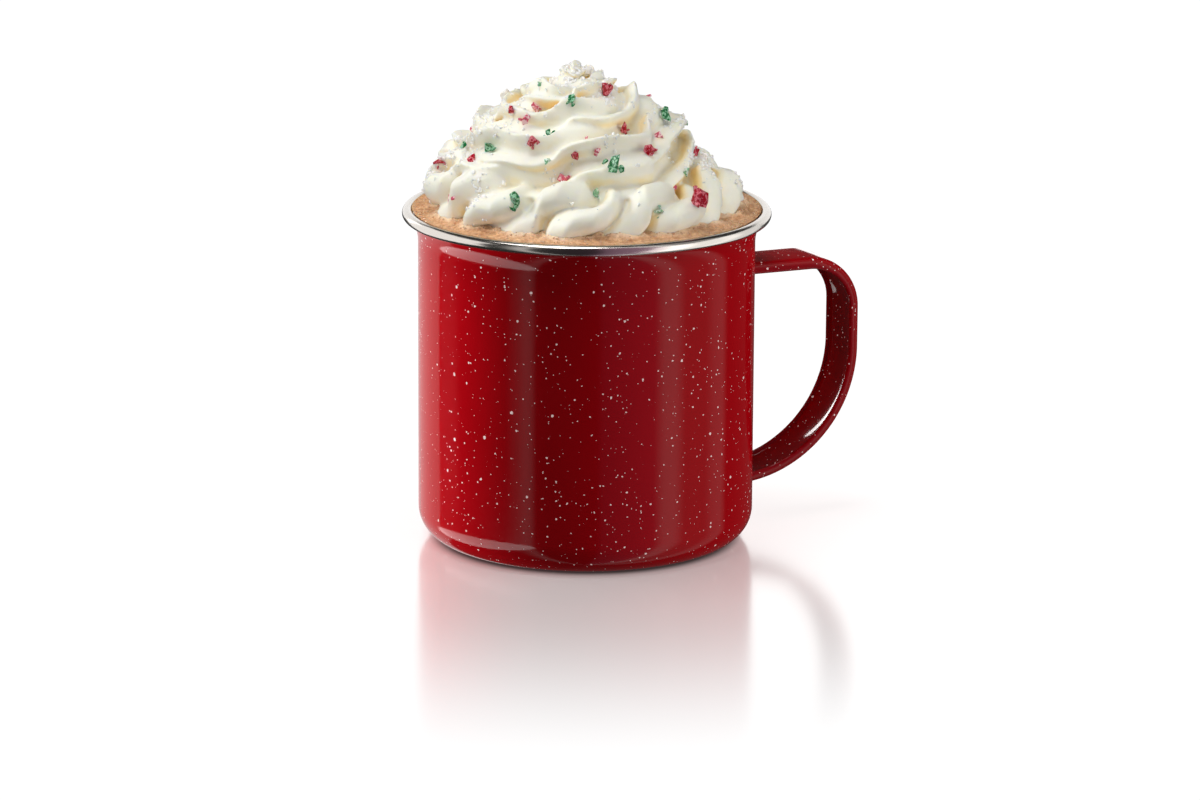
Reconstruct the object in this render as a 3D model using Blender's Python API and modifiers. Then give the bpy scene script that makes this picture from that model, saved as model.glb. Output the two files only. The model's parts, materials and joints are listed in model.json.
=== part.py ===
"""A camp mug of hot chocolate, topped with a piped swirl of whipped cream and crushed candy.

The mug is enamelled sheet steel with a strap handle along +X and a polished steel bead round its
lip. The drink fills it to the brim, and the cream stands on the froth. The origin is the middle
of the mug's flat base, +Z is up, and lengths are in metres.
"""

import math
import random

import bmesh
import bpy
import numpy as np
from mathutils import Matrix, Vector, noise
from mathutils.bvhtree import BVHTree

MM = 0.001
GAP = 0.3 * MM
TURN_STEPS = 48

# Mug: a straight cup with a rounded bottom edge
BODY_RADIUS = 44.0 * MM
WALL = 1.4 * MM
CORNER_RADIUS = 8.4 * MM
FLARE_START = 83.8 * MM

# Steel bead round the lip
BEAD_RING_RADIUS = 46.7 * MM
BEAD_HEIGHT = 86.9 * MM
BEAD_RADIUS = 1.45 * MM

# Handle: a trough of sheet steel, open towards the mug, on a D-shaped path
STRAP_WIDTH = 15.5 * MM
STRAP_DEPTH = 3.0 * MM
STRAP_METAL = 1.2 * MM
STRAP_EDGE_RADIUS = 2.1 * MM
HANDLE_REACH = 75.8 * MM
HANDLE_TOP = 71.0 * MM
HANDLE_TOP_BEND = 14.5 * MM
HANDLE_LOW_BEND = 35.0 * MM
HANDLE_LOW_BEND_HEIGHT = 46.0 * MM
HANDLE_END = 43.0 * MM

# Drink and froth
FROTH_TOP = 88.3 * MM
FROTH_RELIEF = 0.3 * MM
FROTH_BUBBLE = 5.0 * MM

# Cream: its flat foot, and the tables of the piped path, turn by turn from the bottom up
CREAM_FOOT = 88.9 * MM
PATH_TURNS = (0.0, 0.35, 0.6, 0.85, 1.0, 1.6, 2.0, 3.0, 4.0, 5.0, 5.3)
PATH_RADIUS = (31.5, 33.0, 35.5, 33.0, 31.0, 23.0, 24.0, 17.0, 10.0, 2.8, 0.3)
PATH_HEIGHT = (94.0, 93.5, 89.0, 93.0, 96.0, 98.5, 103.0, 109.6, 115.6, 121.0, 124.0)
ROPE_RADIUS = (9.0, 9.0, 8.0, 9.4, 10.0, 9.0, 9.2, 8.0, 6.6, 4.4, 2.6)
PATH_START = math.radians(127.0)
LEAN_TOWARDS = math.radians(157.0)
LEAN_FOOT = 1.0 * MM
LEAN_TOP = 3.0 * MM
BASE_RING = {"turns": (-0.02, 1.12), "flutes": 3, "depth": 0.6, "sway": 0.6, "waves": 9.0}
UPPER_SWIRL = {"turns": (0.75, 5.3), "flutes": 6, "depth": 0.5, "sway": 0.5, "waves": 5.0}
BASE_TWIST = -6.0
UPPER_TWIST = (-1.6, -0.9, -0.6, -0.5)
UPPER_TWIST_TURNS = (0.7, 1.4, 3.0, 5.4)
CORE_PROFILE = ((0.0, 121.0), (5.0, 117.0), (11.0, 110.0), (19.0, 101.0), (26.0, 93.0),
                (28.0, 86.0), (0.0, 86.0))
VOXEL = 0.5 * MM
SMOOTHING_PASSES = 8
RUFFLE = 1.2 * MM
RUFFLE_SIZE = 10.0 * MM
CREAM_TRIANGLES = 6300

# Crushed candy. A shard lies where a ray from a point inside the cream leaves it. The large ones
# are placed by hand, as (azimuth, elevation, half length), and the small ones follow a rule.
SHARD_AIM_HEIGHT = 92.0 * MM
LARGE_SHARDS = (
    (262, 23, 3.2), (293, 6, 3.3), (220, 8, 3.1), (193, 27, 2.7), (284, 72, 2.4), (323, 45, 2.6),
    (286, 29, 2.2), (278, 47, 2.2), (220, 34, 2.0), (167, 14, 2.0), (187, 20, 1.9), (238, 18, 2.0),
    (183, 2, 1.9), (238, 61, 2.0), (225, 41, 1.8), (255, 32, 1.6), (254, 11, 1.9), (278, 3, 1.8),
    (198, 57, 1.8), (204, 47, 1.8), (307, 37, 1.6), (243, 30, 1.7), (304, 16, 1.6), (172, 25, 1.6),
    (192, 48, 1.5), (345, 18, 2.3), (20, 30, 2.6), (48, 9, 2.4), (75, 38, 2.1), (96, 16, 2.8),
    (128, 27, 2.3), (146, 6, 2.3), (140, 50, 1.9), (0, 88, 1.7),
)
SMALL_SHARDS = 40
SMALL_SHARD_RADIUS = (0.9 * MM, 1.3 * MM)
SHARD_FLATNESS = (0.5, 0.75)
SHARD_CORNERS = 10
SHARD_SINK = 0.3
GOLDEN_ANGLE = math.pi * (3.0 - math.sqrt(5.0))


def new_collection(name):
    """Make a collection in the scene."""
    made = bpy.data.collections.new(name)
    bpy.context.scene.collection.children.link(made)
    return made


def new_object(name, data, collection):
    """Make an object from a mesh or curve, in a collection."""
    made = bpy.data.objects.new(name, data)
    collection.objects.link(made)
    return made


def new_material(name, color, roughness, metallic=0.0):
    """Make a plain finish from its colour, roughness and metallic value."""
    made = bpy.data.materials.new(name)
    made.use_nodes = True
    shader = made.node_tree.nodes["Principled BSDF"]
    shader.inputs["Base Color"].default_value = (*color, 1.0)
    shader.inputs["Roughness"].default_value = roughness
    shader.inputs["Metallic"].default_value = metallic
    made.diffuse_color = (*color, 1.0)
    return made


def evaluated_mesh(obj):
    """Return the mesh that an object's modifiers or bevel make."""
    return bpy.data.meshes.new_from_object(obj.evaluated_get(bpy.context.evaluated_depsgraph_get()))


def arc(center, radius, start, end, steps):
    """Return points along an arc, from one angle to another in degrees."""
    angles = [math.radians(start + (end - start) * i / steps) for i in range(steps + 1)]
    return [(center[0] + radius * math.cos(a), center[1] + radius * math.sin(a)) for a in angles]


def turned(name, profile, collection):
    """Turn a profile of (radius, height) points round the Z axis."""
    mesh = bpy.data.meshes.new(name)
    edges = [(i, i + 1) for i in range(len(profile) - 1)]
    mesh.from_pydata([(r, 0.0, z) for r, z in profile], edges, [])
    obj = new_object(name, mesh, collection)
    screw = obj.modifiers.new("turn", "SCREW")
    screw.steps = TURN_STEPS
    screw.render_steps = TURN_STEPS
    screw.use_merge_vertices = True
    screw.merge_threshold = 0.00001
    return obj


def cup_profile():
    """Return the mug's section: floor, inside wall, flared lip, outside wall, base."""
    inside = BODY_RADIUS - WALL
    corner_center = (BODY_RADIUS - CORNER_RADIUS, CORNER_RADIUS)
    bead = (BEAD_RING_RADIUS, BEAD_HEIGHT)
    cradle = arc(bead, BEAD_RADIUS + GAP, 180, 240, 3)
    lip_top = BEAD_HEIGHT
    return [
        (0.0, WALL),
        *arc(corner_center, CORNER_RADIUS - WALL, -90, 0, 4),
        (inside, lip_top - WALL),
        *arc((inside + WALL, lip_top - WALL), WALL, 180, 90, 3)[1:],
        *cradle,
        (cradle[-1][0] - GAP, cradle[-1][1] - 2 * GAP),
        *arc((BODY_RADIUS + WALL, FLARE_START), WALL, 120, 180, 2),
        *arc(corner_center, CORNER_RADIUS, 0, -90, 6),
        (0.0, 0.0),
    ]


def trough_section():
    """Return the strap's section: x runs from its outer face towards the mug, y across it."""
    half = STRAP_WIDTH / 2
    edge = STRAP_EDGE_RADIUS
    inner = edge - STRAP_METAL
    steps = 3
    return [
        (STRAP_DEPTH, half),
        *arc((edge, half - edge), edge, 90, 180, steps),
        *arc((edge, edge - half), edge, 180, 270, steps),
        (STRAP_DEPTH, -half),
        (STRAP_DEPTH, STRAP_METAL - half),
        *arc((edge, edge - half), inner, 270, 180, steps),
        *arc((edge, half - edge), inner, 180, 90, steps),
        (STRAP_DEPTH, half - STRAP_METAL),
    ]


def handle_path():
    """Return the strap's outer face in the XZ plane, from the top end round to the low end."""
    top_center = (HANDLE_REACH - HANDLE_TOP_BEND, HANDLE_TOP - HANDLE_TOP_BEND)
    low_center = (HANDLE_REACH - HANDLE_LOW_BEND, HANDLE_LOW_BEND_HEIGHT)
    low_end = -math.degrees(math.acos((HANDLE_END - low_center[0]) / HANDLE_LOW_BEND))
    return [
        (HANDLE_END, HANDLE_TOP),
        *arc(top_center, HANDLE_TOP_BEND, 90, 0, 6),
        *arc(low_center, HANDLE_LOW_BEND, 0, low_end, 9),
    ]


def swept(name, path, section, collection):
    """Sweep a closed section along a flat path in the XZ plane, as a closed mesh."""
    outline = bpy.data.curves.new(name + "_section", "CURVE")
    outline.dimensions = "2D"
    ring = outline.splines.new("POLY")
    ring.points.add(len(section) - 1)
    for point, (x, y) in zip(ring.points, section):
        point.co = (x, y, 0.0, 1.0)
    ring.use_cyclic_u = True
    section_object = new_object(name + "_section", outline, collection)

    line = bpy.data.curves.new(name + "_path", "CURVE")
    line.dimensions = "2D"
    line.bevel_mode = "OBJECT"
    line.bevel_object = section_object
    line.use_fill_caps = True
    run = line.splines.new("POLY")
    run.points.add(len(path) - 1)
    for point, (x, z) in zip(run.points, path):
        point.co = (x, z, 0.0, 1.0)
    path_object = new_object(name + "_path", line, collection)
    path_object.rotation_euler = (math.pi / 2, 0.0, 0.0)
    bpy.context.view_layer.update()

    mesh = evaluated_mesh(path_object)
    weld(mesh)
    made = new_object(name, mesh, collection)
    made.matrix_world = path_object.matrix_world
    bpy.data.objects.remove(path_object)
    bpy.data.objects.remove(section_object)
    return made


def weld(mesh):
    """Weld loose caps to their tube, and turn every face outwards."""
    bm = bmesh.new()
    bm.from_mesh(mesh)
    bmesh.ops.remove_doubles(bm, verts=bm.verts, dist=0.000001)
    bmesh.ops.recalc_face_normals(bm, faces=bm.faces)
    bm.to_mesh(mesh)
    bm.free()


def as_cutter(obj):
    """Mark an object as a guide that only shapes another."""
    obj.hide_render = True
    obj.display_type = "WIRE"


def add_boolean(obj, operation, other=None, group=None, solver="EXACT"):
    """Join or cut an object with another, or with all of a collection."""
    modifier = obj.modifiers.new(operation.lower(), "BOOLEAN")
    modifier.operation = operation
    modifier.solver = solver
    if group:
        modifier.operand_type = "COLLECTION"
        modifier.collection = group
    else:
        modifier.object = other


def apply_modifiers(obj):
    """Replace an object's mesh by what its modifiers make."""
    mesh = evaluated_mesh(obj)
    obj.modifiers.clear()
    obj.data = mesh


def make_mug(parts, cutters):
    """Make the cup and join the handle to it."""
    mug = turned("mug", cup_profile(), parts)
    strap = swept("handle_strap", handle_path(), trough_section(), cutters)
    as_cutter(strap)
    add_boolean(mug, "UNION", strap)
    mug.data.materials.append(new_material("red_enamel", (0.40, 0.005, 0.012), 0.15))
    return mug


def make_rim(parts):
    """Make the polished steel bead that closes the lip."""
    bpy.ops.mesh.primitive_torus_add(
        major_radius=BEAD_RING_RADIUS, minor_radius=BEAD_RADIUS,
        major_segments=TURN_STEPS, minor_segments=8, location=(0.0, 0.0, BEAD_HEIGHT))
    rim = bpy.context.active_object
    rim.name = "rim"
    for owner in list(rim.users_collection):
        owner.objects.unlink(rim)
    parts.objects.link(rim)
    rim.data.shade_smooth()
    rim.data.materials.append(new_material("polished_steel", (0.60, 0.59, 0.57), 0.2, 1.0))
    return rim


def froth_lift(point):
    """Return how far the froth stands above its lowest level at a point."""
    return FROTH_RELIEF * (0.5 + 0.5 * noise.noise(point / FROTH_BUBBLE))


def make_drink(parts):
    """Make the drink, from the mug's floor to the froth that covers the lip."""
    wall = BODY_RADIUS - WALL - GAP
    floor = WALL + GAP
    corner = CORNER_RADIUS - WALL - GAP
    collar = BEAD_HEIGHT + GAP
    edge = arc((BEAD_RING_RADIUS, BEAD_HEIGHT), BEAD_RADIUS + GAP, 130, 165, 2)
    profile = [
        *[(r * MM, FROTH_TOP) for r in (0.0, 37.0, 39.0, 41.0, 43.0)],
        *edge,
        (edge[-1][0] - GAP, collar),
        (BODY_RADIUS, collar),
        *arc((BODY_RADIUS, BEAD_HEIGHT - WALL), WALL + GAP, 120, 180, 2),
        *arc((wall - corner, floor + corner), corner, 0, -90, 3),
        (0.0, floor),
    ]
    drink = turned("hot_chocolate", profile, parts)
    apply_modifiers(drink)
    low_froth = FROTH_TOP - FROTH_RELIEF
    for vertex in drink.data.vertices:
        if vertex.co.z > FROTH_TOP - 0.01 * MM:
            vertex.co.z = low_froth + froth_lift(vertex.co)
    drink.data.materials.append(new_material("milk_chocolate_froth", (0.42, 0.22, 0.12), 0.5))
    return drink


def eased(values, turn):
    """Read a path table at a turn, averaged over a quarter turn each way so that it has no kinks."""
    nearby = turn + np.linspace(-0.25, 0.25, 9)
    return float(np.mean(np.interp(nearby, PATH_TURNS, values)))


def lean_at(height):
    """Return how far the cream's middle leans sideways at a height."""
    share = min(1.0, max(0.0, (height / MM - 90.0) / 15.0))
    distance = LEAN_FOOT + (LEAN_TOP - LEAN_FOOT) * share
    return Vector((math.cos(LEAN_TOWARDS), math.sin(LEAN_TOWARDS), 0.0)) * distance


def path_point(turn, sway, waves):
    """Return the middle of the piped rope and its radius. The hand that pipes it sways."""
    drift = noise.noise(Vector((turn * 2.1, 3.7, 0.0)))
    swell = noise.noise(Vector((turn * 2.7, 1.7, 5.0)))
    lift = noise.noise(Vector((turn * 3.0, 9.1, 2.0)))
    phase = waves * 2 * math.pi * turn + 3.0 * drift
    radius = eased(PATH_RADIUS, turn) + 1.2 * swell
    radius += sway * (2.0 * math.sin(phase) + 0.8 * math.sin(1.7 * phase + 1.0))
    height = eased(PATH_HEIGHT, turn) + 1.4 * lift + sway * 1.6 * math.cos(phase + 0.6)
    rope = eased(ROPE_RADIUS, turn) * (1.0 + 0.1 * sway * math.sin(phase + 2.0) + 0.1 * swell)
    angle = PATH_START + 2 * math.pi * turn
    point = Vector((radius * math.cos(angle), radius * math.sin(angle), height)) * MM
    return point + lean_at(point.z), rope


def round_lobes(flute_angle):
    """Return how deep a section is cut: broad round lobes with sharp folds between them."""
    return 1.0 - abs(math.cos(flute_angle))


def crisp_lobes(flute_angle):
    """Return how deep a section is cut: narrow ridges with broad hollows between them."""
    return abs(math.sin(flute_angle)) ** 1.5


def star_section(flutes, depth, lobes, count=36):
    """Return the section that a star nozzle presses, a unit wide from its middle to its lobes."""
    section = []
    for i in range(count):
        angle = 2 * math.pi * i / count
        radius = MM * (1.0 - depth * lobes(flutes * angle / 2))
        section.append((radius * math.cos(angle), radius * math.sin(angle)))
    return section


def base_twist(turn):
    """Return the angle that the base ring's rope has rolled through."""
    return 2 * math.pi * BASE_TWIST * turn


def upper_twist(turn):
    """Return the angle that the upper rope has rolled through, which slows towards the top."""
    samples = (np.arange(60) + 0.5) * turn / 60
    rate = np.interp(samples, UPPER_TWIST_TURNS, UPPER_TWIST)
    return 2 * math.pi * float(np.mean(rate)) * turn


def piped_rope(name, rope, lobes, twist, collection, steps_per_turn=70):
    """Pipe one rope of cream along the rising path."""
    star = bpy.data.curves.new(name + "_star", "CURVE")
    star.dimensions = "2D"
    ring = star.splines.new("POLY")
    section = star_section(rope["flutes"], rope["depth"], lobes)
    ring.points.add(len(section) - 1)
    for point, (x, y) in zip(ring.points, section):
        point.co = (x, y, 0.0, 1.0)
    ring.use_cyclic_u = True
    star_object = new_object(name + "_star", star, collection)

    path = bpy.data.curves.new(name + "_path", "CURVE")
    path.dimensions = "3D"
    path.twist_mode = "Z_UP"
    path.bevel_mode = "OBJECT"
    path.bevel_object = star_object
    path.use_fill_caps = True
    first, last = rope["turns"]
    count = int((last - first) * steps_per_turn)
    run = path.splines.new("POLY")
    run.points.add(count)
    for i, point in enumerate(run.points):
        turn = first + (last - first) * i / count
        middle, radius = path_point(turn, rope["sway"], rope["waves"])
        point.co = (*middle, 1.0)
        point.radius = radius
        point.tilt = twist(turn)
    path_object = new_object(name + "_path", path, collection)
    mesh = evaluated_mesh(path_object)
    weld(mesh)
    bpy.data.objects.remove(path_object)
    bpy.data.objects.remove(star_object)
    return mesh


def core_mesh(collection):
    """Make the plain cone that fills the middle of the swirl."""
    core = turned("cream_core", [(r * MM, z * MM) for r, z in CORE_PROFILE], collection)
    mesh = evaluated_mesh(core)
    bpy.data.objects.remove(core)
    for vertex in mesh.vertices:
        vertex.co += lean_at(vertex.co.z)
    return mesh


def keep_largest_shell(mesh):
    """Drop the loose scraps and closed bubbles, and keep the one outer skin."""
    bm = bmesh.new()
    bm.from_mesh(mesh)
    unseen = set(bm.verts)
    shells = []
    while unseen:
        shell = {unseen.pop()}
        front = list(shell)
        while front:
            for edge in front.pop().link_edges:
                fresh = {v for v in edge.verts if v in unseen}
                unseen -= fresh
                shell |= fresh
                front.extend(fresh)
        shells.append(shell)
    largest = max(shells, key=len)
    scraps = [v for v in bm.verts if v not in largest]
    bmesh.ops.delete(bm, geom=scraps, context="VERTS")
    bm.to_mesh(mesh)
    bm.free()


def joined_mesh(name, meshes):
    """Put several meshes into one."""
    bm = bmesh.new()
    for mesh in meshes:
        bm.from_mesh(mesh)
    joined = bpy.data.meshes.new(name)
    bm.to_mesh(joined)
    bm.free()
    return joined


def ruffle(point):
    """Return a smooth random shift, the same each run, that keeps the folds from being too even."""
    spot = point / RUFFLE_SIZE
    shift = [noise.noise(spot + Vector((0.0, 0.0, 31.7 * i))) for i in range(3)]
    return Vector(shift) * RUFFLE


def make_swirl(parts, cutters):
    """Pipe the swirl, melt its ropes into one body, ruffle it and cut its foot flat."""
    ropes = [
        piped_rope("base_ring", BASE_RING, round_lobes, base_twist, cutters),
        piped_rope("upper_swirl", UPPER_SWIRL, crisp_lobes, upper_twist, cutters),
        core_mesh(cutters),
    ]
    cream = new_object("whipped_cream", joined_mesh("whipped_cream", ropes), parts)
    melt = cream.modifiers.new("melt", "REMESH")
    melt.mode = "VOXEL"
    melt.voxel_size = VOXEL
    soften = cream.modifiers.new("soften", "SMOOTH")
    soften.factor = 0.5
    soften.iterations = SMOOTHING_PASSES
    apply_modifiers(cream)
    for vertex in cream.data.vertices:
        vertex.co += ruffle(vertex.co)
    keep_largest_shell(cream.data)

    thin = cream.modifiers.new("thin", "DECIMATE")
    thin.ratio = CREAM_TRIANGLES / (2 * len(cream.data.polygons))
    thin.use_collapse_triangulate = True
    bpy.ops.mesh.primitive_cube_add(size=0.2, location=(0.0, 0.0, CREAM_FOOT - 0.1))
    below = bpy.context.active_object
    add_boolean(cream, "DIFFERENCE", below)
    apply_modifiers(cream)
    bpy.data.objects.remove(below)
    keep_largest_shell(cream.data)
    return cream


def direction(azimuth, elevation):
    """Return the unit vector at an azimuth from +X and an elevation, in radians."""
    level = math.cos(elevation)
    return Vector((level * math.cos(azimuth), level * math.sin(azimuth), math.sin(elevation)))


def shard_places(rng):
    """Return (direction, half length) for each shard, the large ones first."""
    places = [(direction(math.radians(azimuth), math.radians(elevation)), radius * MM)
              for azimuth, elevation, radius in LARGE_SHARDS]
    for i in range(SMALL_SHARDS):
        elevation = math.asin(0.03 + 0.94 * ((i + 0.5) / SMALL_SHARDS) ** 1.3)
        places.append((direction(i * GOLDEN_ANGLE, elevation), rng.uniform(*SMALL_SHARD_RADIUS)))
    return places


def shard_mesh(name, radius, center, rng):
    """Make one cracked piece of candy, as the hull round a few random corners."""
    turn = Vector([rng.gauss(0.0, 1.0) for _ in range(3)]).to_track_quat("Z", "X").to_matrix()
    squash = Matrix.Diagonal((1.0, rng.uniform(0.7, 0.95), rng.uniform(*SHARD_FLATNESS)))
    bm = bmesh.new()
    for _ in range(SHARD_CORNERS):
        corner = Vector([rng.gauss(0.0, 1.0) for _ in range(3)]).normalized()
        bm.verts.new(center + turn @ squash @ corner * radius * rng.uniform(0.85, 1.0))
    hull = bmesh.ops.convex_hull(bm, input=bm.verts)
    inner = [item for item in hull["geom_interior"] if isinstance(item, bmesh.types.BMVert)]
    bmesh.ops.delete(bm, geom=inner, context="VERTS")
    bmesh.ops.recalc_face_normals(bm, faces=bm.faces)
    mesh = bpy.data.meshes.new(name)
    bm.to_mesh(mesh)
    bm.free()
    return mesh


def add_candy(cream):
    """Press shards of crushed candy into the cream, and join them to it."""
    rng = random.Random(7)
    surface = BVHTree.FromObject(cream, bpy.context.evaluated_depsgraph_get())
    aim = Vector((0.0, 0.0, SHARD_AIM_HEIGHT)) + lean_at(SHARD_AIM_HEIGHT)
    candy = new_collection("candy")
    placed = []
    for towards, radius in shard_places(rng):
        hit, normal, _, _ = surface.ray_cast(aim + towards * 0.1, -towards)
        center = hit + normal * radius * SHARD_SINK
        mesh = shard_mesh(f"shard_{len(placed)}", radius, center, rng)
        apart = all((center - other).length > radius + reach for other, reach in placed)
        if apart and center.z > CREAM_FOOT + radius + 0.5 * MM:
            placed.append((center, radius))
            as_cutter(new_object(mesh.name, mesh, candy))
    add_boolean(cream, "UNION", group=candy, solver="MANIFOLD")
    apply_modifiers(cream)
    for shard in list(candy.objects):
        bpy.data.objects.remove(shard)
    bpy.data.collections.remove(candy)
    keep_largest_shell(cream.data)


def make_cream(parts, cutters):
    """Make the cream with its candy."""
    cream = make_swirl(parts, cutters)
    add_candy(cream)
    cream.data.materials.clear()
    cream.data.materials.append(new_material("whipped_cream", (0.90, 0.86, 0.76), 0.6))
    return cream


def main():
    """Clear the scene and build the mug with all that it holds."""
    for obj in list(bpy.data.objects):
        bpy.data.objects.remove(obj, do_unlink=True)
    parts = new_collection("hot_chocolate_mug")
    cutters = new_collection("cutters")
    make_mug(parts, cutters)
    make_rim(parts)
    make_drink(parts)
    make_cream(parts, cutters)
    for obj in parts.objects:
        obj.data.set_sharp_from_angle(angle=math.radians(35.0))
    print({obj.name: len(obj.data.polygons) for obj in parts.objects})


main()
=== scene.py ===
# %% [markdown]
# # A camp mug of hot chocolate
#
# This lesson dresses one object: a speckled camp mug of enamelled steel, full of hot chocolate,
# under a piped swirl of whipped cream with crushed candy. A plain model of it, made earlier, is
# loaded first and gives every place and size. Each piece here stands in for a part of that
# model and has the same form, with finer detail and a finish. Lengths are in metres, the mug
# stands on the origin, +Z is up and the handle points along +X.

# %% Load the plain model
import json
import math
import random

import bmesh
import bpy
import numpy as np
from mathutils import Matrix, Vector, noise
from mathutils.bvhtree import BVHTree

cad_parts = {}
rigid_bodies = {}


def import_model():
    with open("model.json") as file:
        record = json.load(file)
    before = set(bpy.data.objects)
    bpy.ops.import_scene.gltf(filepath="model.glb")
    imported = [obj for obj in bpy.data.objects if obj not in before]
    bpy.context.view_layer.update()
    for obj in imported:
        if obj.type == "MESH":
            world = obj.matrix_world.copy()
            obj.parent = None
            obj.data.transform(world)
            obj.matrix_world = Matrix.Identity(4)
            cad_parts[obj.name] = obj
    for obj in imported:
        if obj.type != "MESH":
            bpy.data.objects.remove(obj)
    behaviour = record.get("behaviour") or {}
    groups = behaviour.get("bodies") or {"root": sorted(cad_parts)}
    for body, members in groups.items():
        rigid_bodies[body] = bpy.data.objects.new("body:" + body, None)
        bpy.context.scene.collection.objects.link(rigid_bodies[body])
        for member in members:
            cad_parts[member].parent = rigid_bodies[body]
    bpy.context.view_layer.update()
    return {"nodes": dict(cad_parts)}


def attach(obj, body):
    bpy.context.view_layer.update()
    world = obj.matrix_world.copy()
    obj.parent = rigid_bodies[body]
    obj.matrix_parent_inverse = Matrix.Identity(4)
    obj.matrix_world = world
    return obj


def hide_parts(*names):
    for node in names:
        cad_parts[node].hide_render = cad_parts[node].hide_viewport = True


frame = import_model()
MM = 0.001
print("nodes:", sorted(frame["nodes"]))

# %% [markdown]
# ## Small helpers
#
# Colours are given as sRGB hex values, as on any screen, but a renderer adds up light,
# so one function turns them to linear. Another adds a node to a material, to the world or to a
# geometry tree: it sets the node's own settings, and for each input either a value or a link.


# %% Colours, nodes and objects
def linear(hex_colour):
    """Turn an sRGB hex colour, such as c8061a, into linear red, green, blue and alpha."""
    channels = [int(hex_colour[i:i + 2], 16) / 255 for i in (0, 2, 4)]
    light = [c / 12.92 if c <= 0.04045 else ((c + 0.055) / 1.055) ** 2.4 for c in channels]
    return (*light, 1.0)


def add_node(tree, kind, settings=None, inputs=None):
    """Add one node. An input is given a value, or the output of another node to link to."""
    node = tree.nodes.new(kind)
    for name, value in (settings or {}).items():
        setattr(node, name, value)
    for key, value in (inputs or {}).items():
        if isinstance(value, bpy.types.NodeSocket):
            tree.links.new(value, node.inputs[key])
        else:
            node.inputs[key].default_value = value
    return node


def new_material(name):
    """Make a material with an empty node tree, and return both."""
    made = bpy.data.materials.new(name)
    made.use_nodes = True
    made.node_tree.nodes.clear()
    return made, made.node_tree


def new_object(name, data):
    """Make an object at the origin from a mesh, a curve, a light or a camera."""
    made = bpy.data.objects.new(name, data)
    bpy.context.scene.collection.objects.link(made)
    return made


def evaluated_mesh(obj):
    """Return the plain mesh that an object's modifiers or bevel make."""
    return bpy.data.meshes.new_from_object(obj.evaluated_get(bpy.context.evaluated_depsgraph_get()))


def triangles(mesh):
    """Count a mesh's triangles."""
    return sum(len(face.vertices) - 2 for face in mesh.polygons)


print("linear value of mid grey 808080:", round(linear("808080")[0], 3))

# %% [markdown]
# ## The camera
#
# The camera stands a metre and a half away and looks 14 degrees down, which is how the drink was
# seen on its table. A long lens at that distance keeps the sides of the mug nearly parallel. The
# camera is turned a third of a degree about its own axis, as the original view is.

# %% Set up the camera
CAMERA_AZIMUTH = math.radians(-23.0)
CAMERA_ELEVATION = math.radians(14.2)
CAMERA_DISTANCE = 1.5
CAMERA_ROLL = math.radians(0.33)
AIM_SIDEWAYS = 3.73 * MM
AIM_HEIGHT = 36.37 * MM
IMAGE_WIDTH = 1200
PIXELS_PER_UNIT_ANGLE = 3.806 * 1500

to_right = Vector((math.cos(CAMERA_AZIMUTH), math.sin(CAMERA_AZIMUTH), 0.0))
to_camera = Vector((math.sin(CAMERA_AZIMUTH), -math.cos(CAMERA_AZIMUTH), 0.0))


def toward(azimuth, elevation):
    """Return a unit vector. The azimuth, in degrees, runs from the camera's side to its right."""
    turn = math.radians(azimuth)
    rise = math.radians(elevation)
    level = to_camera * math.cos(turn) + to_right * math.sin(turn)
    return level * math.cos(rise) + Vector((0.0, 0.0, math.sin(rise)))


lens = bpy.data.cameras.new("camera")
lens.sensor_width = 36.0
lens.lens = PIXELS_PER_UNIT_ANGLE / IMAGE_WIDTH * lens.sensor_width
camera = new_object("camera", lens)
back = toward(0.0, math.degrees(CAMERA_ELEVATION))
camera.location = to_right * AIM_SIDEWAYS + Vector((0.0, 0.0, AIM_HEIGHT)) + back * CAMERA_DISTANCE
level_view = (-back).to_track_quat("-Z", "Y").to_matrix()
camera.rotation_euler = (level_view @ Matrix.Rotation(CAMERA_ROLL, 3, "Z")).to_euler()
bpy.context.scene.camera = camera
bpy.context.scene.view_settings.view_transform = "Standard"
print("lens:", round(lens.lens, 1), "mm")

# %% [markdown]
# ## The studio
#
# Gloss only shows what stands around an object. Tall soft panels give the enamel its upright
# strips: a faint one to the left, and a broad dim one with a brighter core on the right. They
# are painted into the world as bands by compass direction, so they run straight down the wall
# at any height. What only one finish should see, such as the cards for the steel, the bright
# space behind the mug that the floor mirrors, and the window at the far left of the wall, is
# hung as a lamp and linked to it.

# %% Paint the panels into the world
WORLD_PEAK = 2.0
DIM = 0.03
WHITE = "ffffff"
ROSE = "ffcbed"
PANELS = (
    # compass direction in degrees, brightness, tint
    (-180, 0.05, WHITE), (-168, DIM, WHITE), (-56, DIM, WHITE), (-47, 0.35, WHITE), (-42, 0.72, WHITE),
    (-38, 0.65, WHITE), (-34, DIM, WHITE), (8, DIM, ROSE), (12, 0.20, ROSE), (48, 0.35, ROSE),
    (56, 1.10, WHITE), (64, 1.10, WHITE), (72, 0.30, WHITE), (90, 0.25, WHITE),
    (98, 0.50, WHITE), (107, 0.50, WHITE), (113, DIM, WHITE), (168, 0.05, WHITE),
    (180, 0.05, WHITE),
)
AMBIENT = 0.10

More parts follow.
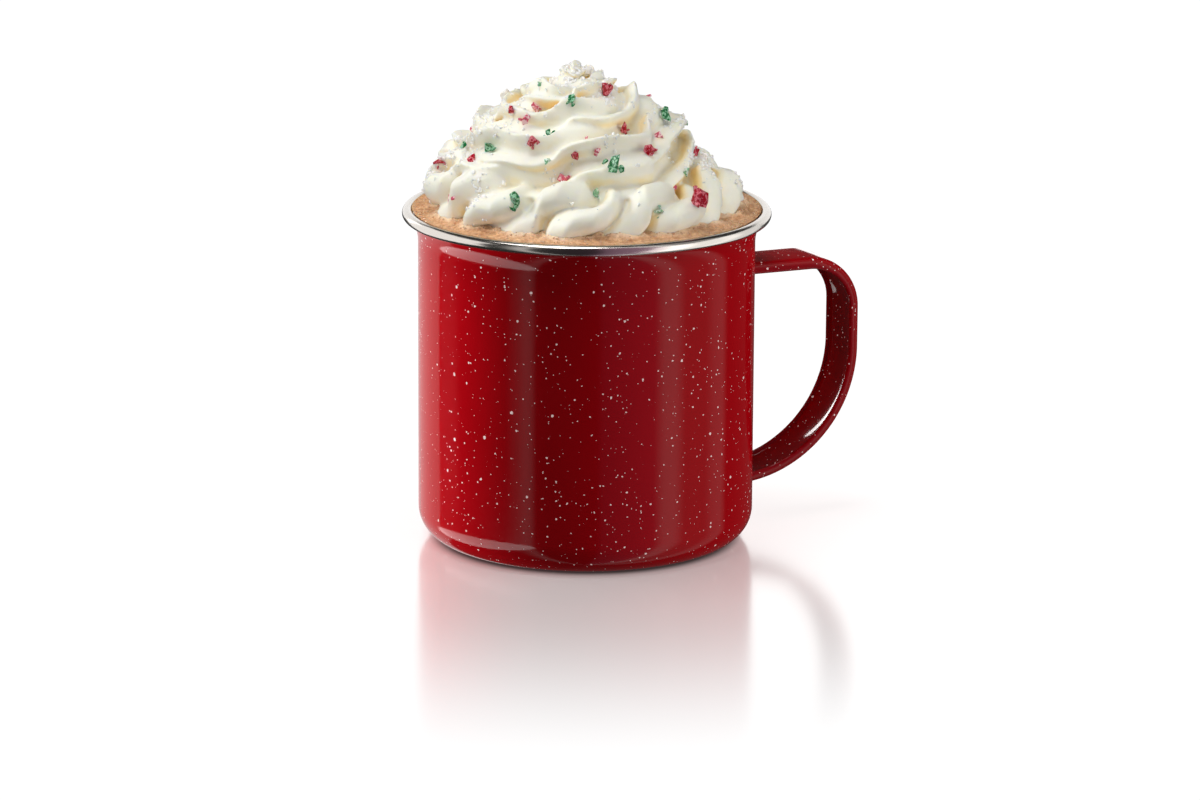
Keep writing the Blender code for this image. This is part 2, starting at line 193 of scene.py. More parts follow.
world = bpy.data.worlds.new("studio")
world.use_nodes = True
studio = world.node_tree
studio.nodes.clear()
looking = add_node(studio, "ShaderNodeTexCoord").outputs["Generated"]
rightward = add_node(studio, "ShaderNodeVectorMath", {"operation": "DOT_PRODUCT"},
                     {0: looking, 1: to_right}).outputs["Value"]
nearward = add_node(studio, "ShaderNodeVectorMath", {"operation": "DOT_PRODUCT"},
                    {0: looking, 1: to_camera}).outputs["Value"]
compass = add_node(studio, "ShaderNodeMath", {"operation": "ARCTAN2"}, {0: rightward, 1: nearward})
share = add_node(studio, "ShaderNodeMapRange", {}, {
    "Value": compass.outputs[0], "From Min": -math.pi, "From Max": math.pi})
bands = add_node(studio, "ShaderNodeValToRGB", {}, {"Fac": share.outputs[0]})
stops = bands.color_ramp.elements
for azimuth, _, _ in PANELS[1:-1]:
    stops.new((azimuth + 180) / 360)
for stop, (_, level, tint) in zip(stops, PANELS):
    stop.color = (*[level / WORLD_PEAK * channel for channel in linear(tint)[:3]], 1.0)
panels = add_node(studio, "ShaderNodeBackground", {}, {
    "Color": bands.outputs["Color"], "Strength": WORLD_PEAK})

fill = add_node(studio, "ShaderNodeBackground", {}, {
    "Color": linear("ffffff"), "Strength": AMBIENT})
white = add_node(studio, "ShaderNodeBackground", {}, {"Color": linear("ffffff")})
ray = add_node(studio, "ShaderNodeLightPath")
soft = add_node(studio, "ShaderNodeMixShader", {}, {
    0: ray.outputs["Is Diffuse Ray"], 1: panels.outputs[0], 2: fill.outputs[0]})
sky = add_node(studio, "ShaderNodeMixShader", {}, {
    0: ray.outputs["Is Camera Ray"], 1: soft.outputs[0], 2: white.outputs[0]})
add_node(studio, "ShaderNodeOutputWorld", {}, {"Surface": sky.outputs[0]})
bpy.context.scene.world = world
print("panels in the world:", len(PANELS), "stops")

# %% [markdown]
# ## The lamps
#
# Soft lamps give the shape: a strong one low on the left for the cup, one overhead, a weak one
# on the right, and a pair for the cream, which needs far less light than dark red enamel. These
# stay out of the gloss where they would spoil it. The others do the opposite and only draw
# highlights: a long low strip, which the flare under the lip and the rounded base mirror as
# bright curves, a narrow one and a small card behind the mug, which draw the thin streaks in the
# handle's trough and the light on its upper bend, and the large cards.

# %% Hang the lamps
LAMPS = (
    # name, azimuth, elevation, distance, size, power in watts, what it lights, how it is seen.
    # A shade lamp stays out of the gloss. A card, with square corners, and a highlight, with
    # round ones, show in the gloss alone
    ("left_lamp", -108, -10, 0.9, (0.35, 0.30), 9.0, "cup", "shade"),
    ("overhead_lamp", -60, 78, 1.0, (0.6, 0.5), 4.6, "all", "both"),
    ("right_lamp", 82, 5, 0.9, (0.3, 0.4), 2.6, "all", "shade"),
    ("cream_key", -84, 28, 0.9, (0.4, 0.4), 4.6, "drink", "both"),
    ("cream_fill", 10, 14, 1.0, (0.9, 0.6), 2.6, "drink", "both"),
    ("low_strip", -80, -33, 0.9, (1.5, 0.36), 5.0, "enamel", "highlight"),
    ("streak_lamp", -150, 8, 0.9, (0.10, 0.45), 1.2, "handle", "highlight"),
    ("bend_card", 177, -2, 1.4, (0.60, 0.30), 1.1, "handle", "card"),
    ("left_window", -146, -10, 0.9, (0.92, 1.0), 2.0, "wall", "card"),
    ("right_card", 88, -8, 0.9, (2.0, 1.6), 10.0, "bead", "card"),
    ("left_card", -105, 4, 0.9, (1.4, 1.4), 7.6, "bead", "card"),
    ("back_card", 180, 12, 1.4, (2.6, 0.9), 8.2, "mirrors", "card"),
)
LAMP_AIM = Vector((0.0, 0.0, 60 * MM))

lit_groups = {name: bpy.data.collections.new(f"lit_{name}")
              for name in sorted({row[6] for row in LAMPS} - {"all"})}
for name, azimuth, elevation, distance, size, watts, lights, seen in LAMPS:
    lamp = bpy.data.lights.new(name, "AREA")
    lamp.shape = "ELLIPSE" if seen == "highlight" else "RECTANGLE"
    lamp.size, lamp.size_y = size
    lamp.energy = watts
    hung = new_object(name, lamp)
    towards = toward(azimuth, elevation)
    hung.location = LAMP_AIM + towards * distance
    hung.rotation_euler = towards.to_track_quat("Z", "Y").to_euler()
    hung.visible_camera = False
    hung.visible_glossy = seen != "shade"
    hung.visible_diffuse = seen in ("shade", "both")
    if lights in lit_groups:
        hung.light_linking.receiver_collection = lit_groups[lights]
    print(name, "at", [round(v, 2) for v in hung.location])

# %% [markdown]
# ## The floor
#
# The mug stands on a sheet of white acrylic, lit from below. Close to the mug the polished sheet
# mirrors it, and further out its own light drowns the image, so the reflection fades. Under the
# rounded base edge almost no light gets in, so a painted shadow, a dark ring in the floor's own
# colour, sets the mug down. The floor isn't seen by the reflections in the mug, or it would veil
# the dark red of the front.

# %% Lay the floor
FLOOR_SIZE = 6.0
FLOOR_DROP = 0.02 * MM
FADE_START = 60 * MM
FADE_END = 215 * MM
# Where the painted shadow under the base edge is darkest, and where it has faded out
SHADOW_RING_START = 37.5 * MM
SHADOW_RING_END = 42 * MM

acrylic, tree = new_material("polished_white_acrylic")
place = add_node(tree, "ShaderNodeTexCoord").outputs["Object"]
distance = add_node(tree, "ShaderNodeVectorMath", {"operation": "LENGTH"}, {0: place})
fade = add_node(tree, "ShaderNodeMapRange", {"interpolation_type": "SMOOTHSTEP"}, {
    "Value": distance.outputs["Value"], "From Min": FADE_START, "From Max": FADE_END})
sheet = add_node(tree, "ShaderNodeBsdfPrincipled", {}, {
    "Base Color": linear("f3f0ef"), "Metallic": 0.40, "Roughness": 0.16,
    "Emission Color": linear("fff7f6"), "Emission Strength": 0.28})
lit = add_node(tree, "ShaderNodeEmission", {}, {"Color": linear("ffffff"), "Strength": 1.05})
floor_mix = add_node(tree, "ShaderNodeMixShader", {}, {
    0: fade.outputs[0], 1: sheet.outputs[0], 2: lit.outputs[0]})
# Painted shadow: towards the base edge the floor turns to a near-black diffuse
painted_shadow_ring = add_node(tree, "ShaderNodeMapRange", {"interpolation_type": "SMOOTHSTEP"}, {
    "Value": distance.outputs["Value"], "From Min": SHADOW_RING_START, "From Max": SHADOW_RING_END,
    "To Min": 0.9, "To Max": 0.0})
shade = add_node(tree, "ShaderNodeBsdfDiffuse", {}, {"Color": linear("271919")})
floor_and_painted_shadow = add_node(tree, "ShaderNodeMixShader", {}, {
    0: painted_shadow_ring.outputs[0], 1: floor_mix.outputs[0], 2: shade.outputs[0]})
add_node(tree, "ShaderNodeOutputMaterial", {}, {"Surface": floor_and_painted_shadow.outputs[0]})

floor_mesh = bpy.data.meshes.new("floor")
half = FLOOR_SIZE / 2
floor_mesh.from_pydata([(x * half, y * half, -FLOOR_DROP) for x, y in
                        ((-1, -1), (1, -1), (1, 1), (-1, 1))], [], [(0, 1, 2, 3)])
floor_mesh.materials.append(acrylic)
floor = new_object("floor", floor_mesh)
floor.visible_glossy = False
floor.visible_diffuse = False
floor.visible_shadow = False
print("floor:", FLOOR_SIZE, "m square")

# %% [markdown]
# ## The enamel
#
# Camp mugs are pressed from sheet steel, dipped in ground glass and fired. The red coat is a
# glassy layer with a soft waviness, and the white flecks are a second enamel spattered on before
# firing. Flecks are grains of many sizes, so three layers of a cell pattern are laid over each
# other: each cell holds one grain, whose size is drawn by the cell's own random value. A little
# noise bends the pattern first, so that the grains aren't round.

# %% Scatter the flecks
FLECK_LAYERS = (
    # cell size, largest grain radius, edge softness in cells
    (4.6 * MM, 0.52 * MM, 0.008),
    (2.1 * MM, 0.30 * MM, 0.012),
    (1.25 * MM, 0.19 * MM, 0.020),
)
FLECK_SMALLEST = 0.2


def fleck_mask(tree, place, cell, radius, softness):
    """Return a mask of grains, one in each cell, of random sizes up to the radius."""
    cells = add_node(tree, "ShaderNodeTexVoronoi", {}, {"Vector": place, "Scale": 1.0 / cell})
    chance = add_node(tree, "ShaderNodeSeparateColor", {}, {0: cells.outputs["Color"]})
    reach = add_node(tree, "ShaderNodeMapRange", {}, {
        "Value": chance.outputs[0], "To Min": FLECK_SMALLEST * radius / cell,
        "To Max": radius / cell})
    inside = add_node(tree, "ShaderNodeMath", {"operation": "SUBTRACT"}, {
        0: reach.outputs[0], 1: cells.outputs["Distance"]})
    return add_node(tree, "ShaderNodeMapRange", {}, {
        "Value": inside.outputs[0], "From Min": 0.0, "From Max": softness}).outputs[0]


print("largest fleck:", round(2 * FLECK_LAYERS[0][1] / MM, 2), "mm across")

# %% Make the speckled enamel
FLECK_BEND = 0.6 * MM
FLECK_BEND_SIZE = 0.8 * MM
FLECK_WHITE = "fbe9e6"
# A painted glow: a white grain still looks bright to the eye in the shade, so it is given a little light
# of its own
FLECK_GLOW = "957c79"
CLOUD_SIZE = 14 * MM
WAVE_SIZE = 9.0 * MM
WAVE_HEIGHT = 0.012 * MM


def speckled_enamel(name, reds, gloss):
    """Make the enamel from two close reds. The gloss holds the shader's own settings."""
    made, tree = new_material(name)
    place = add_node(tree, "ShaderNodeTexCoord").outputs["Object"]
    bend = add_node(tree, "ShaderNodeTexNoise", {}, {"Vector": place, "Scale": 1.0 / FLECK_BEND_SIZE})
    bent = add_node(tree, "ShaderNodeVectorMath", {"operation": "MULTIPLY_ADD"}, {
        0: bend.outputs["Color"], 1: (FLECK_BEND,) * 3, 2: place})
    mask = None
    for cell, radius, softness in FLECK_LAYERS:
        layer = fleck_mask(tree, bent.outputs[0], cell, radius, softness)
        if mask is None:
            mask = layer
            continue
        mask = add_node(tree, "ShaderNodeMath", {"operation": "MAXIMUM"}, {0: mask, 1: layer}).outputs[0]
    cloud = add_node(tree, "ShaderNodeTexNoise", {}, {"Vector": place, "Scale": 1.0 / CLOUD_SIZE})
    red = add_node(tree, "ShaderNodeMix", {"data_type": "RGBA"}, {
        0: cloud.outputs["Fac"], 6: linear(reds[0]), 7: linear(reds[1])})
    coat = add_node(tree, "ShaderNodeMix", {"data_type": "RGBA"}, {
        0: mask, 6: red.outputs[2], 7: linear(FLECK_WHITE)})
    fleck_painted_glow = add_node(tree, "ShaderNodeMix", {"data_type": "RGBA"}, {
        0: mask, 6: linear("000000"), 7: linear(FLECK_GLOW)})
    waves = add_node(tree, "ShaderNodeTexNoise", {}, {
        "Vector": place, "Scale": 1.0 / WAVE_SIZE, "Detail": 1.0})
    ripple = add_node(tree, "ShaderNodeBump", {}, {
        "Height": waves.outputs["Fac"], "Distance": WAVE_HEIGHT, "Strength": 1.0})
    shader = add_node(tree, "ShaderNodeBsdfPrincipled", {}, {
        "Base Color": coat.outputs[2], "Normal": ripple.outputs[0],
        "Emission Color": fleck_painted_glow.outputs[2], "Emission Strength": 1.0, **gloss})
    add_node(tree, "ShaderNodeOutputMaterial", {}, {"Surface": shader.outputs[0]})
    return made


# Fired glass over steel: a clear red with a sharp gloss, an index a little under window glass
enamel = speckled_enamel("speckled_vitreous_enamel", ("c20311", "ce0515"),
                         {"Roughness": 0.09, "IOR": 1.33})
# The strap has the same glass, but with darker reds: a painted shade, for the shadow of the cup that it
# stands in
strap_enamel_painted_shade = speckled_enamel("speckled_vitreous_enamel_painted_shade", ("a6020e", "b30411"),
                               {"Roughness": 0.10, "IOR": 1.33})
print("enamel nodes:", len(enamel.node_tree.nodes), "and", len(strap_enamel_painted_shade.node_tree.nodes))

# %% [markdown]
# ## The cup
#
# The cup is a straight cylinder with a rounded bottom edge, and its lip flares out and cradles a
# steel bead. A shape like that comes off a lathe, so its section is drawn once and turned. The
# section runs from the middle of the floor inside, up over the lip, and down to the base.

# %% Turn a section into a mesh
TURN_STEPS = 192


def arc(center, radius, start, end, steps):
    """Return points along an arc, from one angle to another in degrees."""
    angles = [math.radians(start + (end - start) * i / steps) for i in range(steps + 1)]
    return [(center[0] + radius * math.cos(a), center[1] + radius * math.sin(a)) for a in angles]


def turned_mesh(name, profile, steps=TURN_STEPS, closed=False):
    """Turn (radius, height) points round the Z axis. Points on the axis become one pole."""
    mesh = bpy.data.meshes.new(name)
    bm = bmesh.new()
    uv_map = bm.loops.layers.uv.new("UVMap")
    rings = []
    for radius, height in profile:
        if radius < 1e-7:
            rings.append([bm.verts.new((0.0, 0.0, height))] * steps)
            continue
        turns = [2 * math.pi * i / steps for i in range(steps)]
        rings.append([bm.verts.new((radius * math.cos(t), radius * math.sin(t), height))
                      for t in turns])
    along = [0.0]
    path = list(profile) + ([profile[0]] if closed else [])
    for (r0, z0), (r1, z1) in zip(path, path[1:]):
        along.append(along[-1] + math.hypot(r1 - r0, z1 - z0))
    pairs = list(zip(rings, rings[1:] + rings[:1])) if closed else list(zip(rings, rings[1:]))
    for k, (low, high) in enumerate(pairs):
        for i in range(steps):
            j = (i + 1) % steps
            corners = [(low[i], i, k), (low[j], i + 1, k), (high[j], i + 1, k + 1), (high[i], i, k + 1)]
            kept = []
            for corner in corners:
                if all(corner[0] is not other[0] for other in kept):
                    kept.append(corner)
            face = bm.faces.new([corner[0] for corner in kept])
            for loop, (_, step, row) in zip(face.loops, kept):
                loop[uv_map].uv = (step / steps, along[row])
    bmesh.ops.recalc_face_normals(bm, faces=bm.faces)
    bm.to_mesh(mesh)
    bm.free()
    mesh.shade_smooth()
    return mesh


print("a test disc has", len(turned_mesh("test", [(0.0, 0.0), (1.0, 0.0)], 12).polygons), "faces")

# %% Make the cup
BODY_RADIUS = 44.0 * MM
WALL = 1.4 * MM
CORNER_RADIUS = 8.4 * MM
FLARE_START = 79.6 * MM
FLARE_RADIUS = 10.6 * MM
FLARE_TURN = 31.0
BEAD_RING_RADIUS = 46.7 * MM
BEAD_HEIGHT = 86.9 * MM
BEAD_RADIUS = 1.45 * MM
GAP = 0.3 * MM


def cup_profile():
    """Return the cup's section: floor, inside wall, flared lip, outside wall, base."""
    inside = BODY_RADIUS - WALL
    corner = (BODY_RADIUS - CORNER_RADIUS, CORNER_RADIUS)
    cradle = arc((BEAD_RING_RADIUS, BEAD_HEIGHT), BEAD_RADIUS + GAP, 180, 240, 8)
    return [
        (0.0, WALL),
        *arc(corner, CORNER_RADIUS - WALL, -90, 0, 12),
        (inside, BEAD_HEIGHT - WALL),
        *arc((BODY_RADIUS, BEAD_HEIGHT - WALL), WALL, 180, 90, 6)[1:],
        *cradle,
        *arc((BODY_RADIUS + FLARE_RADIUS, FLARE_START), FLARE_RADIUS, 180 - FLARE_TURN, 180, 12),
        (BODY_RADIUS, 60 * MM),
        (BODY_RADIUS, 35 * MM),
        *arc(corner, CORNER_RADIUS, 0, -90, 20),
        (0.0, 0.0),
    ]


cup_mesh = turned_mesh("enamel_cup", cup_profile())
cup_mesh.set_sharp_from_angle(angle=math.radians(50))
cup_mesh.materials.append(enamel)
cup = new_object("enamel_cup", cup_mesh)
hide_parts("mug")
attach(cup, "root")
print("cup:", triangles(cup_mesh), "triangles")

# %% [markdown]
# ## The handle
#
# The handle is a strip of sheet steel pressed into a shallow trough, open towards the mug, then
# bent into a D and welded on before the enamel. The press leaves the inside softly rounded, which
# gives the gloss there long thin streaks. The trough's section is swept along the path of its
# outer face. The glass pools where the strap meets the wall, so the section swells a little
# over its last millimetre and makes a soft fillet there.

# %% Draw the strap's section and path
STRAP_WIDTH = 15.5 * MM
STRAP_DEPTH = 3.0 * MM
STRAP_METAL = 1.2 * MM
STRAP_EDGE_RADIUS = 2.1 * MM
HANDLE_REACH = 75.8 * MM
HANDLE_TOP = 71.0 * MM
HANDLE_TOP_BEND = 14.5 * MM
HANDLE_LOW_BEND = 35.0 * MM
HANDLE_LOW_BEND_HEIGHT = 46.0 * MM
HANDLE_END = 43.0 * MM
TROUGH_ROUND_ACROSS = 6.3 * MM
TROUGH_ROUND_DEEP = 1.15 * MM


def trough_section():
    """Return the strap's section with rounded rims: x runs towards the mug, y across the strap."""
    half = STRAP_WIDTH / 2
    edge = STRAP_EDGE_RADIUS
    rim = STRAP_METAL / 2
    bend = (STRAP_METAL + TROUGH_ROUND_DEEP, half - STRAP_METAL - TROUGH_ROUND_ACROSS)
    inner = [(bend[0] + TROUGH_ROUND_DEEP * x, bend[1] + TROUGH_ROUND_ACROSS * y)
             for x, y in arc((0.0, 0.0), 1.0, 180, 90, 12)]
    top_rim = (STRAP_DEPTH - rim, half - rim)
    low_rim = (STRAP_DEPTH - rim, rim - half)
    return [
        *arc(top_rim, rim, 0, 90, 4),
        *arc((edge, half - edge), edge, 90, 180, 8),
        *arc((edge, edge - half), edge, 180, 270, 8),
        *arc(low_rim, rim, -90, 0, 4),
        *arc(low_rim, rim, 0, 90, 4)[1:],
        *[(x, -y) for x, y in reversed(inner)],
        *inner,
        *arc(top_rim, rim, -90, 0, 4)[:-1],
    ]


def handle_path():
    """Return the strap's outer face in the XZ plane, from the top end round to the low end."""
    top_center = (HANDLE_REACH - HANDLE_TOP_BEND, HANDLE_TOP - HANDLE_TOP_BEND)
    low_center = (HANDLE_REACH - HANDLE_LOW_BEND, HANDLE_LOW_BEND_HEIGHT)
    low_end = -math.degrees(math.acos((HANDLE_END - low_center[0]) / HANDLE_LOW_BEND))
    start = [(HANDLE_END + i * 0.3 * MM, HANDLE_TOP) for i in range(12)]
    return [
        *start,
        *arc(top_center, HANDLE_TOP_BEND, 90, 0, 24),
        *arc(low_center, HANDLE_LOW_BEND, 0, low_end, 70)[1:],
    ]


print("strap:", len(trough_section()), "points round,", len(handle_path()), "points along")

# %% Sweep the handle
FILLET_WIDTH = 0.7 * MM
FILLET_REACH = 1.6 * MM


def swept_mesh(name, path, section):
    """Sweep the closed section along the path, swelling it where it meets the cup's wall."""
    mesh = bpy.data.meshes.new(name)
    bm = bmesh.new()
    count = len(section)
    normals = []
    for i in range(count):
        (x0, y0), (x1, y1) = section[i - 1], section[(i + 1) % count]
        normals.append(Vector((y1 - y0, x0 - x1)).normalized())
    rings = []
    for k, (x, z) in enumerate(path):
        before = Vector(path[max(k - 1, 0)])
        after = Vector(path[min(k + 1, len(path) - 1)])
        ahead = (after - before).normalized()
        inward = Vector((ahead.y, -ahead.x))
        ring = []
        for (depth, across), normal in zip(section, normals):
            point = Vector((x, z)) + inward * depth
            wall = math.sqrt(max(BODY_RADIUS ** 2 - across ** 2, 0.0))
            near = max(0.0, 1.0 - max(point.x - wall, 0.0) / FILLET_REACH)
            swell = FILLET_WIDTH * near ** 3
            point = point - inward * normal.x * swell
            ring.append(bm.verts.new((point.x, across - normal.y * swell, point.y)))
        rings.append(ring)
    for low, high in zip(rings, rings[1:]):
        for i in range(count):
            j = (i + 1) % count
            bm.faces.new((low[i], low[j], high[j], high[i]))
    bm.faces.new(rings[0])
    bm.faces.new(list(reversed(rings[-1])))
    bmesh.ops.recalc_face_normals(bm, faces=bm.faces)
    bm.to_mesh(mesh)
    bm.free()
    mesh.shade_smooth()
    mesh.set_sharp_from_angle(angle=math.radians(50))
    return mesh


handle_mesh = swept_mesh("enamel_handle", handle_path(), trough_section())
handle_mesh.materials.append(strap_enamel_painted_shade)
handle = new_object("enamel_handle", handle_mesh)
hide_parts("mug")
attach(handle, "root")
print("handle:", triangles(handle_mesh), "triangles, reach",
      round(max(v.co.x for v in handle_mesh.vertices) / MM, 2), "mm")

# %% [markdown]
# ## The steel bead
#
# The lip is left bare of enamel and closed by a round bead of stainless steel. Polishing wheels
# follow the bead, so its finest scratches run round the lip. The mesh is turned from a circle,
# and its own UV map carries the scratches: short steps across the bead, long ones round it.

# %% Make the polished steel
# Real polishing lines are about a hundredth of a millimetre wide, so these are drawn coarser
SCRATCH_WIDTH = 0.12 * MM
SCRATCH_TURNS = 9.0

# Polished stainless steel: a warm grey mirror, a little blurred by the wheel
steel, tree = new_material("polished_stainless_steel")
wrap = add_node(tree, "ShaderNodeUVMap", {"uv_map": "UVMap"}).outputs[0]
drawn = add_node(tree, "ShaderNodeMapping", {}, {
    "Vector": wrap, "Scale": (SCRATCH_TURNS, 1.0 / SCRATCH_WIDTH, 1.0)})
scratches = add_node(tree, "ShaderNodeTexNoise", {}, {
    "Vector": drawn.outputs[0], "Scale": 1.0, "Detail": 3.0})
blur = add_node(tree, "ShaderNodeMapRange", {}, {
    "Value": scratches.outputs["Fac"], "To Min": 0.10, "To Max": 0.26})
grooves = add_node(tree, "ShaderNodeBump", {}, {
    "Height": scratches.outputs["Fac"], "Distance": 0.004 * MM})
shader = add_node(tree, "ShaderNodeBsdfPrincipled", {}, {
    "Base Color": linear("cfc9c2"), "Metallic": 1.0, "Roughness": blur.outputs[0],
    "Normal": grooves.outputs[0]})
add_node(tree, "ShaderNodeOutputMaterial", {}, {"Surface": shader.outputs[0]})
print("steel nodes:", len(tree.nodes))

# %% Make the bead
bead_circle = arc((BEAD_RING_RADIUS, BEAD_HEIGHT), BEAD_RADIUS, 0, 360, 32)[:-1]
bead_mesh = turned_mesh("steel_rim", bead_circle, 256, closed=True)
bead_mesh.materials.append(steel)
bead = new_object("steel_rim", bead_mesh)
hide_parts("rim")
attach(bead, "root")
print("bead:", triangles(bead_mesh), "triangles")

# %% [markdown]
# ## The path of the cream
#
# The cream is one rope from a star nozzle. It makes a ruffled ring on the froth, then climbs in
# shrinking turns to a peak. Tables give the path turn by turn: how far out it runs, how high, and
# how thick the rope is. The hand that pipes it sways, so waves and smooth noise are added.

# %% Write the path
# At each turn: how far out the rope runs, how high, and its own radius, in millimetres
PATH_TURNS = (0.0, 0.35, 0.6, 0.85, 1.0, 1.6, 2.0, 3.0, 4.0, 5.0, 5.3)
PATH_RADIUS = (31.5, 33.0, 35.5, 33.0, 31.0, 23.0, 24.0, 17.0, 10.0, 2.8, 0.3)
PATH_HEIGHT = (94.0, 93.5, 89.0, 93.0, 96.0, 98.5, 103.0, 109.6, 115.6, 121.0, 124.0)
ROPE_RADIUS = (9.0, 9.0, 8.0, 9.4, 10.0, 9.0, 9.2, 8.0, 6.6, 4.4, 2.6)
PATH_START = math.radians(127.0)
LEAN_TOWARDS = math.radians(157.0)
LEAN_FOOT = 1.0 * MM
LEAN_TOP = 3.0 * MM
LEAN_FROM = 90.0
LEAN_RISE = 15.0
# How far the hand sways, and how far the rope wanders at random, in millimetres
SWAY_OUT = 2.0
SWAY_RIPPLE = 0.8
SWAY_UP = 1.6
WANDER_OUT = 1.2
WANDER_UP = 1.4
BASE_TWIST = -6.0
UPPER_TWIST = (-1.6, -0.9, -0.6, -0.5)
UPPER_TWIST_TURNS = (0.7, 1.4, 3.0, 5.4)


def eased(values, turn):
    """Read a path table at a turn, averaged over a quarter turn each way so that it has no kinks."""
    nearby = turn + np.linspace(-0.25, 0.25, 9)
    return float(np.mean(np.interp(nearby, PATH_TURNS, values)))


def lean_at(height):
    """Return how far the cream's middle leans sideways at a height."""
    share = min(1.0, max(0.0, (height / MM - LEAN_FROM) / LEAN_RISE))
    distance = LEAN_FOOT + (LEAN_TOP - LEAN_FOOT) * share
    return Vector((math.cos(LEAN_TOWARDS), math.sin(LEAN_TOWARDS), 0.0)) * distance


def path_point(turn, sway, waves):
    """Return the middle of the piped rope and its radius in millimetres."""
    drift = noise.noise(Vector((turn * 2.1, 3.7, 0.0)))
    swell = noise.noise(Vector((turn * 2.7, 1.7, 5.0)))
    lift = noise.noise(Vector((turn * 3.0, 9.1, 2.0)))
    phase = waves * 2 * math.pi * turn + 3.0 * drift
    radius = eased(PATH_RADIUS, turn) + WANDER_OUT * swell
    radius += sway * (SWAY_OUT * math.sin(phase) + SWAY_RIPPLE * math.sin(1.7 * phase + 1.0))
    height = eased(PATH_HEIGHT, turn) + WANDER_UP * lift + sway * SWAY_UP * math.cos(phase + 0.6)
    rope = eased(ROPE_RADIUS, turn) * (1.0 + 0.1 * sway * math.sin(phase + 2.0) + 0.1 * swell)
    angle = PATH_START + 2 * math.pi * turn
    point = Vector((radius * math.cos(angle), radius * math.sin(angle), height)) * MM
    return point + lean_at(point.z), rope


def base_twist(turn):
    """Return the angle that the base ring's rope has rolled through."""
    return 2 * math.pi * BASE_TWIST * turn


def upper_twist(turn):
    """Return the angle that the upper rope has rolled through, which slows towards the top."""
    samples = (np.arange(60) + 0.5) * turn / 60
    rate = np.interp(samples, UPPER_TWIST_TURNS, UPPER_TWIST)
    return 2 * math.pi * float(np.mean(rate)) * turn


print("the path ends at", [round(v / MM, 1) for v in path_point(5.3, 0.5, 5.0)[0]], "mm")

# %% [markdown]
# ## The star nozzle
#
# A star nozzle presses flutes into the rope, and the rope rolls as it is laid down. The nozzle is
# a section curve, and the path carries a radius and a roll at each point. The base ring has
# three broad lobes that roll fast, which gives the petals on the froth. The upper turns
# have six crisp ridges that roll slowly and sweep round.

# %% Cut the nozzles
BASE_RING = {"turns": (-0.02, 1.12), "flutes": 3, "depth": 0.6, "sway": 0.6, "waves": 9.0}
UPPER_SWIRL = {"turns": (0.75, 5.3), "flutes": 6, "depth": 0.5, "sway": 0.5, "waves": 5.0}


def round_lobes(flute_angle):
    """Return how deep a section is cut: broad round lobes with sharp folds between them."""
    return 1.0 - abs(math.cos(flute_angle))


def crisp_lobes(flute_angle):
    """Return how deep a section is cut: narrow ridges with broad hollows between them."""
    return abs(math.sin(flute_angle)) ** 1.5


def star_section(flutes, depth, lobes, count=36):
    """Return the section that a star nozzle presses, a unit wide from its middle to its lobes."""
    section = []
    for i in range(count):
        angle = 2 * math.pi * i / count
        radius = MM * (1.0 - depth * lobes(flutes * angle / 2))
        section.append((radius * math.cos(angle), radius * math.sin(angle)))
    return section


print("a nozzle's section has", len(star_section(6, 0.5, crisp_lobes)), "points")


# %% Press the ropes through the nozzles
def piped_rope(name, rope, lobes, twist, steps_per_turn=70):
    """Pipe one rope of cream along the rising path, as a closed mesh."""
    star = bpy.data.curves.new(name + "_star", "CURVE")
    star.dimensions = "2D"
    ring = star.splines.new("POLY")
    section = star_section(rope["flutes"], rope["depth"], lobes)
    ring.points.add(len(section) - 1)
    for point, (x, y) in zip(ring.points, section):
        point.co = (x, y, 0.0, 1.0)
    ring.use_cyclic_u = True
    nozzle = new_object(name + "_star", star)

    path = bpy.data.curves.new(name + "_path", "CURVE")
    path.dimensions = "3D"
    path.twist_mode = "Z_UP"
    path.bevel_mode = "OBJECT"
    path.bevel_object = nozzle
    path.use_fill_caps = True
    first, last = rope["turns"]
    count = int((last - first) * steps_per_turn)
    run = path.splines.new("POLY")
    run.points.add(count)
    for i, point in enumerate(run.points):
        turn = first + (last - first) * i / count
        middle, radius = path_point(turn, rope["sway"], rope["waves"])
        point.co = (*middle, 1.0)
        point.radius = radius
        point.tilt = twist(turn)
    piped = new_object(name + "_path", path)
    mesh = evaluated_mesh(piped)
    bpy.data.objects.remove(piped)
    bpy.data.objects.remove(nozzle)
    return mesh


rope_meshes = [
    piped_rope("base_ring", BASE_RING, round_lobes, base_twist),
    piped_rope("upper_swirl", UPPER_SWIRL, crisp_lobes, upper_twist),
]
print("ropes:", [triangles(mesh) for mesh in rope_meshes], "triangles")

# %% [markdown]
# ## Melting the ropes together
#
# Fresh cream closes up where its turns touch. A voxel remesh does the same: it makes one skin
# round both ropes and a plain cone that fills the middle. A little smoothing rounds the crests,
# smooth noise ruffles them, and a flat cut gives the foot, which stands in the froth.

# %% Melt the ropes into one skin
# The cone in the middle, as radius and height in millimetres
CORE_PROFILE = ((0.0, 121.0), (5.0, 117.0), (11.0, 110.0), (19.0, 101.0), (26.0, 93.0),
                (28.0, 86.0), (0.0, 86.0))
VOXEL = 0.5 * MM
SMOOTHING_PASSES = 8

